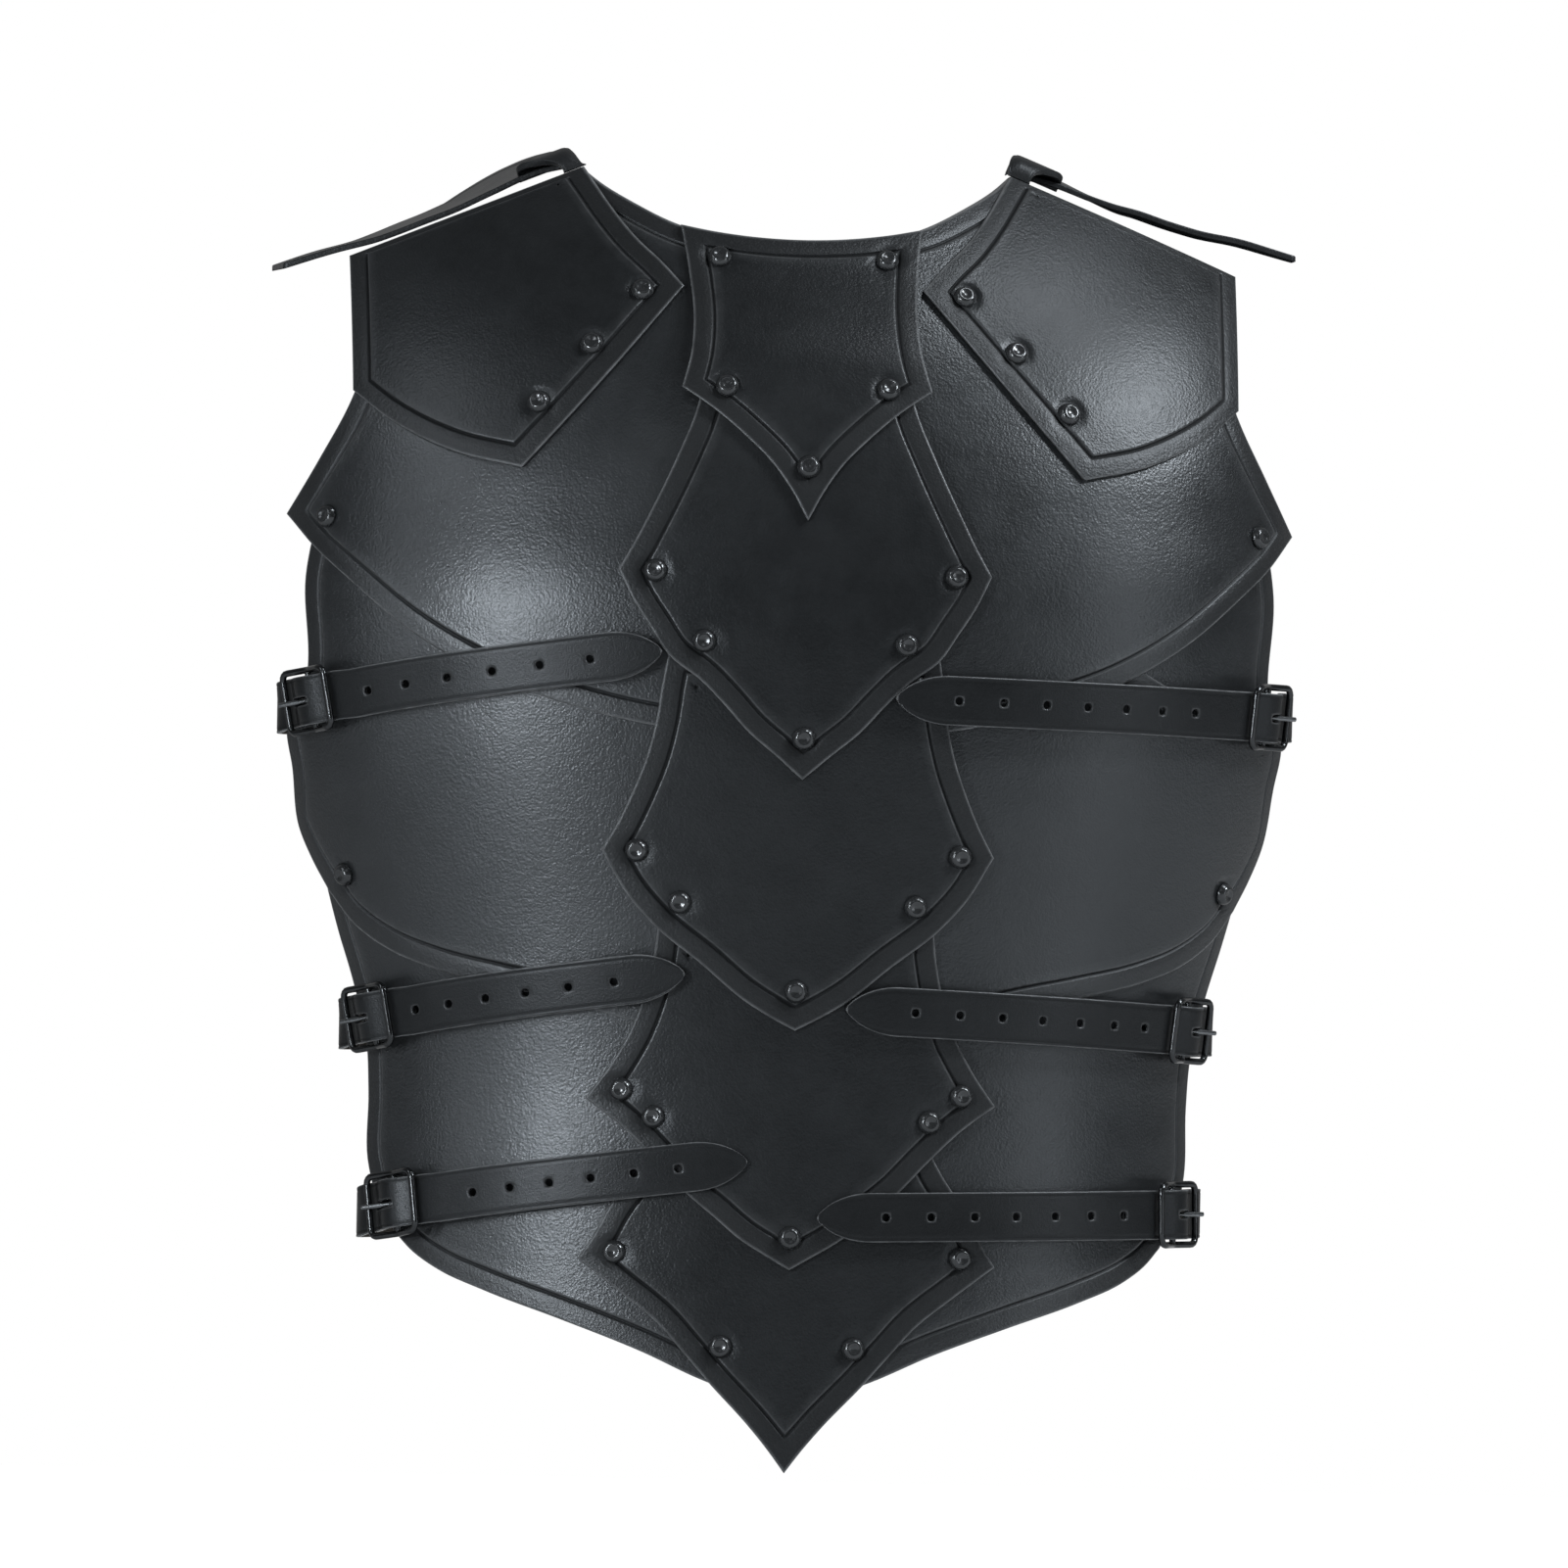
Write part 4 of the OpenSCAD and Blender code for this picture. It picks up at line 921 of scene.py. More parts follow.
@dataclass
class StrapNet:
    """Net of a strap in (distance along, place across): rows across it, and cells with holes."""

    length: float
    half_w: float
    holes: list[Hole]
    step: float = 3.0
    margin: float = 2.6
    tips: tuple[float, float] = (0.0, 0.0)
    fine: tuple[tuple[float, float], ...] = ()

    def width_at(self, p: Array) -> Array:
        """Half width: full, but in a tip it is the full one times (1 - (1 - d/tip)^2)^0.7."""
        width = np.full_like(p, self.half_w)
        for tip, d in zip(self.tips, (p, self.length - p)):
            if tip > 0:
                share = np.clip(d / tip, 0, 1)
                width = np.minimum(width, self.half_w * (1 - (1 - share) ** 2) ** 0.7)
        return np.maximum(width, 0.25)

    def rows_along(self) -> Array:
        """Places of the rows: even steps, finer in the bends, with each hole's own rows."""
        rows = np.arange(0, self.length + self.step / 2, self.step)
        rows = rows[rows < self.length - 0.5]
        for a, b in self.fine:
            rows = np.concatenate([rows[(rows < a) | (rows > b)], np.arange(a, b, 1.25)])
        ends = np.array([0, 0.08, 0.3, 0.8, 1.6])
        rows = rows[(rows > 2.2) & (rows < self.length - 2.2)]
        for hole in self.holes:
            a, b = self.cell(hole)
            rows = rows[(rows < a - 0.6) | (rows > b + 0.6)]
        own = [self.hole_rows(hole) for hole in self.holes]
        return np.sort(np.concatenate([rows, ends, self.length - ends] + own))

    def cell(self, hole: Hole) -> tuple[float, float]:
        """Where the cell of a hole starts and ends."""
        return hole.start - hole.radius - self.margin, hole.end + hole.radius + self.margin

    def hole_rows(self, hole: Hole) -> Array:
        """Rows that cross the cell of a hole."""
        return np.linspace(*self.cell(hole), 5 if hole.end - hole.start < 1 else 11)

    def make(self) -> Net:
        """Builds the net.

        A hole's cell is filled with rows of points between its square edge and the hole: the hole's
        point is the nearest place of its middle line plus its radius towards the edge's point.
        """
        reach = max([h.radius + self.margin for h in self.holes], default=self.half_w * 0.4)
        inner = np.linspace(-reach, reach, 5) / self.half_w
        outer = np.array([0.5 * (1 + reach / self.half_w), 0.8, 0.86, 0.9, 0.935, 0.97, 0.99, 1.0])
        outer = outer[outer > reach / self.half_w + 0.05]
        v = np.concatenate([-outer[::-1], inner, outer])
        size = np.abs(v)
        lift_v = np.where(size > 0.995, -0.55, np.where(size > 0.98, -0.16, 0.0))
        groove = np.exp(-((size - STRAP_GROOVE_AT) / STRAP_GROOVE_W) ** 2)
        lift_v = lift_v - 0.16 * groove
        # Edge mark: the strap's edges and tips lighten towards the edge colour, a painted highlight with some
        # wear.
        edge_v = np.clip((size - 0.955) / 0.035, 0, 1)
        # Groove mark: the strap's groove darkens, painted shade.
        groove_v = 0.8 * groove
        p = self.rows_along()
        rows, cols = len(p), len(v)
        width = self.width_at(p)
        at = np.stack([np.repeat(p, cols), (width[:, None] * v[None]).ravel()], -1)
        near_end = np.minimum(p, self.length - p)
        lift_p = np.where(near_end < 0.02, -0.5, np.where(near_end < 0.1, -0.18, 0.0))
        lift = np.minimum(np.tile(lift_v, rows), np.repeat(lift_p, cols))
        marks = np.zeros((rows * cols, 3))
        marks[:, 0] = np.maximum(np.tile(edge_v, rows), np.repeat(np.clip(1 - near_end / 0.8, 0, 1), cols))
        marks[:, 1] = np.tile(groove_v, rows)
        index = np.arange(rows * cols).reshape(rows, cols)
        keep = np.ones((rows - 1, cols - 1), bool)
        extra_at, extra_lift, extra_marks, extra_quads = [], [], [], []
        total = rows * cols
        c0 = len(outer)
        c1 = c0 + 4
        for hole in self.holes:
            own = self.hole_rows(hole)
            r0 = int(np.argmin(np.abs(p - own[0])))
            r1 = int(np.argmin(np.abs(p - own[-1])))
            keep[r0:r1, c0:c1] = False
            loop = np.concatenate([index[r0:r1, c0], index[r1, c0:c1], index[r1:r0:-1, c1],
                                   index[r0, c1:c0:-1]])
            edge_at = at[loop]
            middle = np.stack([np.clip(edge_at[:, 0], hole.start, hole.end), np.zeros(len(loop))], -1)
            rim = middle + hole.radius * unit(edge_at - middle)
            ids = [loop]
            for share, drop, mark in HOLE_RIM:
                extra_at.append(rim + (edge_at - rim) * share)
                extra_lift.append(np.full(len(loop), drop))
                extra_marks.append(np.tile([mark, 0.0, 0.0], (len(loop), 1)))
                ids.append(total + np.arange(len(loop)))
                total += len(loop)
            for a, b in zip(ids[:-1], ids[1:]):
                extra_quads.append(np.stack([a, np.roll(a, -1), np.roll(b, -1), b], -1))
        cells = grid_cells(index)[keep]
        return Net(np.concatenate([at] + extra_at), np.concatenate([lift] + extra_lift),
                   np.concatenate([marks] + extra_marks), np.concatenate([cells] + extra_quads))


@dataclass
class StrapPath:
    """Middle line of a strap with its across and outward directions, by distance along it."""

    centre: Array
    across: Array

    def __post_init__(self) -> None:
        """Works out distances and outward directions."""
        step = np.linalg.norm(np.diff(self.centre, axis=0), axis=1)
        self.run = np.concatenate([[0], np.cumsum(step)])
        ahead = unit(np.gradient(self.centre, self.run, axis=0))
        self.out = unit(np.cross(self.across, ahead))
        self.side = np.cross(ahead, self.out)

    def place(self, p: Array, v: Array, lift: Array) -> Array:
        """Point p along, v across and lift outwards."""
        def at(rows: Array) -> Array:
            """Rows read off at p."""
            return np.stack([np.interp(p, self.run, rows[:, k]) for k in range(3)], -1)
        return at(self.centre) + v[:, None] * unit(at(self.side)) + lift[:, None] * unit(at(self.out))


def turned_out(quads: Array, front: Array, behind: Array) -> Array:
    """Quads wound so that the front skin faces away from the back one, judged by the first quad."""
    a, b, d = front[quads[0, 0]], front[quads[0, 1]], front[quads[0, 3]]
    inwards = float(np.cross(b - a, d - a) @ (a - behind[quads[0, 0]])) < 0
    return quads[:, ::-1] if inwards else quads


def strap_skins(net: Net, path: StrapPath, thickness: float, front: float = 1.0, back: float = 0.8
                ) -> tuple[Array, Array]:
    """Front and back points of a strap, half its thickness on either side of the path.

    Args:
        net: net of the strap.
        path: its middle line.
        thickness: its thickness.
        front: share of the net's lift that the front takes.
        back: share of the net's falls that the back takes.

    Returns:
        Points of the front, and points of the back.
    """
    p, v = net.at[:, 0], net.at[:, 1]
    return (path.place(p, v, thickness / 2 + net.lift * front),
            path.place(p, v, -thickness / 2 - np.minimum(net.lift, 0) * back))


def strap_solid(name: str, net: Net, path: StrapPath, thickness: float, finish: bpy.types.Material,
                back: bpy.types.Material) -> bpy.types.Object:
    """Closed strap along a path."""
    front, behind = strap_skins(net, path, thickness)
    faces, kind = solid_faces(turned_out(net.quads, front, behind), len(front))
    marks = np.concatenate([net.marks, net.marks * [1, 0, 0]])
    return write_piece(name, np.concatenate([front, behind]), faces, [finish, back], kind, marks)


@dataclass(frozen=True)
class BuckleSizes:
    """Sizes that the buckles, tabs and belts share."""

    wire_d: float = 3.0
    bar_reach: float = 15.0
    end_rise: float = 3.0
    bar_clear: float = 1.0
    side_clear: float = 1.0
    belt_w: float = 22.0
    belt_t: float = 2.6
    tab_w: float = 18.0
    tab_t: float = 1.8
    tab_l: float = 27.0
    tongue_d: float = 2.4
    bar_fit: float = 0.25
    corner_r: float = 3.5
    turn: float = 14.0
    tab_middle: float = 15.0
    tab_rivet_at: float = 20.5
    tab_slot_half: float = 4.6
    tab_slot_r: float = 1.9
    taper_l: float = 24.0
    hole_d: float = 3.5
    hole_pitch: float = 19.0
    first_hole: float = 28.0
    tongue_past: float = 1.6
    back_bend_r: float = 14.0
    back_drop: float = 4.0

    @property
    def loop_r(self) -> float:
        """Outer radius of the tab's loop."""
        return self.wire_d / 2 + self.bar_fit + self.tab_t

    @property
    def bar_h(self) -> float:
        """Height of the centre bar over its seat."""
        return self.loop_r + 2.05

    @property
    def tab_floor(self) -> float:
        """Height of the tab's under face, from the centre bar."""
        return -self.bar_h + 0.3

    @property
    def over_bar(self) -> float:
        """Height of the belt's middle over the centre bar."""
        return self.loop_r + 0.45 + self.belt_t / 2

    @property
    def under_bar(self) -> float:
        """Height of the belt's middle under the end bars."""
        return self.end_rise - self.wire_d / 2 - self.bar_clear - self.belt_t / 2

    @property
    def frame_half_w(self) -> float:
        """Half width between the middles of the side bars."""
        return self.belt_w / 2 + self.side_clear + self.wire_d / 2

    @property
    def zone(self) -> float:
        """Half length of the belt's stretch through a buckle."""
        return self.bar_reach + 5


SIZES = BuckleSizes()


@dataclass(frozen=True)
class BuckleSeat:
    """Place and axes of one buckle, worked out on the right side and mirrored for the left."""

    k: int
    side: Side
    belt_z: tuple[float, ...] = (-243.5, -384.0, -468.0)
    tab_angles: tuple[tuple[float, float], ...] = ((58.5, 57.8), (58.2, 56.5), (53.5, 56.0))
    seat_h: tuple[float, ...] = (OVER_RIB_H, RIB_H, RIB_H)
    slopes: tuple[tuple[float, float], ...] = ((8.5, 1.1), (8.4, 2.0), (7.7, -1.7))

    @property
    def index(self) -> int:
        """Place of this side in the tables."""
        return 0 if self.side is Side.LEFT else 1

    @property
    def slope(self) -> float:
        """Slope of the tail towards the chest's middle, in degrees."""
        return self.slopes[self.k][self.index]

    @property
    def tab_angle(self) -> float:
        """Angle round the form of the tab's middle."""
        return math.radians(self.tab_angles[self.k][self.index])

    def tab_axes(self) -> tuple[Array, Array]:
        """Directions along the tab towards the middle, and out of it."""
        a, z = self.tab_angle, self.belt_z[self.k]
        out = TORSO.out_at(a, z)
        level = -TORSO.across_at(a, z)
        up = np.cross(level, out)
        up = up if up[2] > 0 else -up
        tilt = math.radians(self.slope)
        return unit(math.cos(tilt) * level + math.sin(tilt) * up), out

    def centre(self) -> Array:
        """Middle of the centre bar."""
        t, out = self.tab_axes()
        a, z = self.tab_angle, self.belt_z[self.k]
        return TORSO.on(a, z, self.seat_h[self.k]) + SIZES.bar_h * out - SIZES.tab_middle * t

    def axes(self) -> tuple[Array, Array, Array]:
        """Directions along the belt to the middle, across it upwards, and out of it."""
        t, out = self.tab_axes()
        turn = math.radians(SIZES.turn)
        along = math.cos(turn) * t + math.sin(turn) * out
        off = math.cos(turn) * out - math.sin(turn) * t
        w = np.cross(off, along)
        return along, (w if w[2] > 0 else -w), off

    def at_buckle(self, local: Array) -> Array:
        """Places in the part's frame of points given along X, across Y and out Z of the buckle."""
        t, _, n = self.axes()
        return self.placed(local, t, n)

    def at_tab(self, local: Array) -> Array:
        """Places in the part's frame of points given in the tab's own axes."""
        t, n = self.tab_axes()
        return self.placed(local, t, n)

    def placed(self, local: Array, t: Array, n: Array) -> Array:
        """Carries points over to the seat, mirrored on the left side."""
        y = np.cross(n, t)
        result = self.centre() + local[:, :1] * t + local[:, 1:2] * y + local[:, 2:] * n
        return result * [self.side.value, 1, 1]

    @property
    def label(self) -> str:
        """Side in a node's name."""
        return self.side.name.lower()


KEYS = ("chest", "waist", "hip")


@dataclass
class Belt:
    """One belt: a punched tail on each side, through both buckles and round the back."""

    k: int
    tips: tuple[tuple[float, float], ...] = ((65, 42), (50, 23), (20, 12))
    counts: tuple[tuple[int, int], ...] = ((6, 7), (6, 7), (7, 7))
    first_shift: tuple[tuple[float, float], ...] = ((0, -3), (0, 0), (0, 0))
    pitch_shift: tuple[tuple[float, float], ...] = ((1.5, -0.4), (-0.2, -0.2), (-0.7, 0))
    tip_h: tuple[float, ...] = (TOP_H + 0.4, OVER_PLATE_H + 0.4, OVER_PANEL_H + 0.4)

    def half(self, side: Side) -> tuple[Array, Array, Array, Array]:
        """Rings of one half from its tip to the middle of the back, as on the right side.

        Returns:
            Middles, across directions, each ring's share of the tail (over 1 past it), and its place
            along the buckle's axis (nan outside the buckle).
        """
        s = SIZES
        seat = BuckleSeat(self.k, side)
        t, w, n = seat.axes()
        centre = seat.centre()
        zb = seat.belt_z[self.k]
        start, h0, a0, a1 = self.tail_ends(seat)
        h1 = self.tip_h[self.k] + s.belt_t / 2
        total = self.tail_length(seat)
        f = np.linspace(0, 0.98, 60)
        a = a1 + (a0 - a1) * f
        z = start[2] + math.tan(math.radians(seat.slope)) * total * (1 - f)
        tail = TORSO.on(a, z, h1 + (h0 - h1) * f)
        tail_up = TORSO.up_at(a, z)
        p = np.concatenate([[s.bar_reach + 2.5], np.linspace(s.bar_reach, -s.bar_reach, 31), [-s.zone]])
        lift = np.where(np.abs(p) >= s.bar_reach, s.under_bar,
                        s.under_bar + (s.over_bar - s.under_bar) * (1 + np.cos(np.pi * p / s.bar_reach)) / 2)
        lift[0] -= 0.12
        through = centre + p[:, None] * t + lift[:, None] * n
        last = through[-1]
        turn = math.atan2(-t[0], -t[1])
        r = s.back_bend_r
        bend = last + np.array([r * (1 - math.cos(turn)), r * math.sin(turn), -r * t[2]])
        fb = np.linspace(0.85, 0, 6)
        b = turn * fb
        curve = np.stack([last[0] + r * (np.cos(b) - math.cos(turn)),
                          last[1] + r * (math.sin(turn) - np.sin(b)),
                          last[2] + (bend[2] - last[2]) * (1 - fb)], -1)
        curve_up = unit(fb[:, None] * w + np.stack([0 * fb, 0 * fb, 1 - fb], -1))
        c = np.radians(np.concatenate([[4, 9], np.linspace(15, 90, 24)]))
        z_back = zb - s.back_drop
        rear = np.stack([bend[0] * np.cos(c), bend[1] + (TORSO.back_depth - bend[1]) * np.sin(c),
                         bend[2] + (z_back - bend[2]) * ease(np.degrees(c) / 70)], -1)
        rear_up = np.tile([0.0, 0.0, 1.0], (len(c), 1))
        middles = np.concatenate([tail, through, curve, rear])
        ups = np.concatenate([tail_up, np.tile(w, (len(p), 1)), curve_up, rear_up])
        rest = len(middles) - len(f)
        share = np.concatenate([f, np.full(rest, 2.0)])
        along = np.concatenate([np.full(len(f), np.nan), p, np.full(rest - len(p), np.nan)])
        return middles, ups, share, along

    def tail_ends(self, seat: BuckleSeat) -> tuple[Array, float, float, float]:
        """Where the buckle's stretch of the belt starts, and the tail's run round the form.

        Returns:
            That place, its height over the form, its angle and the tip's angle.
        """
        t, _, n = seat.axes()
        start = seat.centre() + SIZES.zone * t + (SIZES.under_bar - 0.5) * n
        h, z = TORSO.height_over(start), seat.belt_z[self.k]
        return (start, h, float(TORSO.angle(start[0], z, h)),
                float(TORSO.angle(self.tips[self.k][seat.index], z, self.tip_h[self.k])))

    def tail_length(self, seat: BuckleSeat) -> float:
        """Length of a tail round the form, from its tip to where the buckle's stretch starts."""
        _, _, a0, a1 = self.tail_ends(seat)
        row = TORSO.on(np.linspace(a1, a0, 13), seat.belt_z[self.k], 6.0)
        return float(np.linalg.norm(np.diff(row, axis=0), axis=1).sum())

    def build(self, finishes: Finishes) -> None:
        """Makes and seats the belt."""
        s = SIZES
        left, right = self.half(Side.LEFT), self.half(Side.RIGHT)
        flip = np.array([-1, 1, 1])
        centre = np.concatenate([left[0] * flip, right[0][::-1][1:]])
        across = np.concatenate([left[1] * flip, right[1][::-1][1:]])
        path = StrapPath(centre, across)
        cut = len(left[0])
        runs = (path.run[:cut], path.run[cut - 1:][::-1])
        holes, fine = [], []
        for i, (half, run, sign) in enumerate(((left, runs[0], 1), (right, runs[1], -1))):
            total = self.tail_length(BuckleSeat(self.k, (Side.LEFT, Side.RIGHT)[i]))
            on_tail = half[2] <= 1
            for n in range(self.counts[self.k][i]):
                f = (s.first_hole + self.first_shift[self.k][i]
                     + n * (s.hole_pitch + self.pitch_shift[self.k][i])) / total
                if f < 0.97:
                    at = float(np.interp(f, half[2][on_tail], run[on_tail]))
                    holes.append(Hole(at, at, s.hole_d / 2))
            inside = ~np.isnan(half[3])
            order = np.argsort(half[3][inside])
            ends = [float(np.interp(v, half[3][inside][order], run[inside][order]))
                    for v in (-s.bar_reach + 4, 1.5)]
            holes.append(Hole(min(ends), max(ends), (s.tongue_d + 1.2) / 2))
            fine.append((min(ends) - 14, max(ends) + 20) if sign > 0 else (min(ends) - 26, max(ends) + 14))
        holes.sort(key=lambda hole: hole.start)
        net = StrapNet(float(path.run[-1]), s.belt_w / 2, holes, tips=(s.taper_l, s.taper_l),
                       fine=tuple(fine)).make()
        node = f"{KEYS[self.k]}_belt"
        piece = strap_solid(f"strap_{node}", net, path, s.belt_t, finishes.strap, finishes.flesh)
        settle(piece, BODY, "strap_leather", node)


# Metal: lathe-turned rivets and bent wire


def turned(profile: Array, sides: int) -> tuple[Array, list[list[int]]]:
    """Turns a (radius, height) profile about Z, with a single point at each end on the axis.

    Returns:
        Points and faces, outward where the profile runs from the top of the axis to its foot.
    """
    body = profile[1:-1]
    turn = np.arange(sides) / sides * 2 * np.pi
    ring = np.stack([body[:, None, 0] * np.cos(turn), body[:, None, 0] * np.sin(turn),
                     np.broadcast_to(body[:, None, 1], (len(body), sides))], -1).reshape(-1, 3)
    points = np.concatenate([ring, [[0, 0, profile[0, 1]], [0, 0, profile[-1, 1]]]])
    i = np.arange(sides)
    j = (i + 1) % sides
    starts = np.arange(len(body) - 1)[:, None] * sides
    quads = np.stack([starts + i, starts + sides + i, starts + sides + j, starts + j], -1)
    quads = quads.reshape(-1, 4).tolist()
    top, foot = len(ring), len(ring) + 1
    last = (len(body) - 1) * sides
    return points, quads + [[top, a, b] for a, b in zip(i, j)] + [[foot, last + b, last + a]
                                                                  for a, b in zip(i, j)]


def tube(path: Array, radii: Array, sides: int, closed: bool, hint: Array
         ) -> tuple[Array, list[list[int]]]:
    """Round wire along a path: rings square to it, each ring's first point away from hint.

    Args:
        path: middle line.
        radii: radius at each point.
        sides: points of a ring.
        closed: the path is a loop; otherwise its ends are capped with a point.
        hint: direction that the path is never parallel to.

    Returns:
        Points and faces.
    """
    n = len(path)
    ahead = (np.roll(path, -1, 0) - np.roll(path, 1, 0)) if closed else np.gradient(path, axis=0)
    ahead = unit(ahead)
    a = unit(np.cross(ahead, hint))
    b = np.cross(a, ahead)
    turn = np.arange(sides) / sides * 2 * np.pi
    ring = (path[:, None] + radii[:, None, None] * (np.cos(turn)[:, None] * a[:, None]
                                                    + np.sin(turn)[:, None] * b[:, None]))
    i = np.arange(sides)
    j = (i + 1) % sides
    spans = n if closed else n - 1
    quads = np.concatenate([np.stack([r * sides + i, r * sides + j, (r + 1) % n * sides + j,
                                      (r + 1) % n * sides + i], -1) for r in range(spans)]).tolist()
    points = ring.reshape(-1, 3)
    if not closed:
        points = np.concatenate([points, path[:1], path[-1:]])
        foot, top, last = n * sides, n * sides + 1, (n - 1) * sides
        quads += [[foot, q, p] for p, q in zip(i, j)] + [[top, last + p, last + q] for p, q in zip(i, j)]
    return points, quads


def joined(parts: list[tuple[Array, list[list[int]]]]) -> tuple[Array, list[list[int]]]:
    """Several shells as one list of points and faces."""
    points, faces, start = [], [], 0
    for part_points, part_faces in parts:
        points.append(part_points)
        faces += [[v + start for v in face] for face in part_faces]
        start += len(part_points)
    return np.concatenate(points), faces


def domed_ends(length: float, radius: float, n: int = 5) -> tuple[Array, Array]:
    """Places and radii along a rod of that length whose ends are rounded."""
    t = np.linspace(0, np.pi / 2, n)
    place = radius * 0.6 * (1 - np.cos(t))
    width = radius * np.maximum(np.sin(t), 0.02)
    return np.concatenate([place, length - place[::-1]]), np.concatenate([width, width[::-1]])


@dataclass(frozen=True)
class Rivet:
    """Capped rivet: a round ring about a shallow dish, with a shank and a washer at the back."""

    cap_d: float = 10.5
    cap_h: float = 3.0
    shank_d: float = 4.0
    washer_d: float = 10.0
    washer_t: float = 1.0
    washer_gap: float = 0.9
    shank_end: float = 0.4

    def profile(self, h: float) -> Array:
        """Radius and height down the rivet, from the middle of its dish, through leather h thick."""
        r, c = self.cap_d / 2, self.cap_h + 0.1
        foot = -h - self.washer_gap
        return np.array([
            (0, c - 0.6), (0.16 * r, c - 0.54), (0.32 * r, c - 0.33), (0.46 * r, c - 0.07),
            (0.56 * r, c),
            (0.66 * r, c - 0.13), (0.76 * r, c - 0.52), (0.86 * r, c - 1.2), (0.95 * r, c - 2.1),
            (r, 0.35), (0.985 * r, -0.1), (0.93 * r, -0.35), (0.8 * r, -0.4), (self.shank_d / 2, -0.4),
            (self.shank_d / 2, foot + 0.05), (self.washer_d / 2 - 0.3, foot),
            (self.washer_d / 2, foot - 0.2), (self.washer_d / 2, foot - self.washer_t + 0.25),
            (self.washer_d / 2 - 0.35, foot - self.washer_t),
            (self.shank_d / 2 + 0.3, foot - self.washer_t),
            (self.shank_d / 2, foot - self.washer_t - self.shank_end * 0.6),
            (self.shank_d / 2 * 0.7, foot - self.washer_t - self.shank_end),
            (0, foot - self.washer_t - self.shank_end)])

    def on_row(self, row: RivetRow, thickness: float = SHEET_T) -> tuple[Array, list[list[int]]]:
        """Every rivet of a row, each square to the face under it."""
        parts = []
        for x, z in row.places():
            def face(height: float) -> Array:
                """Outer face's height over the form."""
                return row.layer(height) + thickness
            a = TORSO.angle(x, z, face(z))
            half = math.radians(0.5)
            across = TORSO.on(a + half, z, face(z)) - TORSO.on(a - half, z, face(z))
            up = TORSO.on(a, z + 0.5, face(z + 0.5)) - TORSO.on(a, z - 0.5, face(z - 0.5))
            n, e = unit(np.cross(across, up)), unit(across)
            f = np.cross(n, e)
            points, faces = turned(self.profile(float(face(z))), 40)
            origin = TORSO.on(a, z, face(z))
            parts.append((origin + points[:, :1] * e + points[:, 1:2] * f + points[:, 2:] * n, faces))
        return joined(parts)

    def build(self, finishes: Finishes) -> None:
        """Makes and seats every row of rivets."""
        for row in ROWS.values():
            points, faces = self.on_row(row)
            piece = write_piece(f"metal_{row.name}", points, faces, [finishes.rivet])
            settle(piece, BODY, "rivet_metal", row.name)


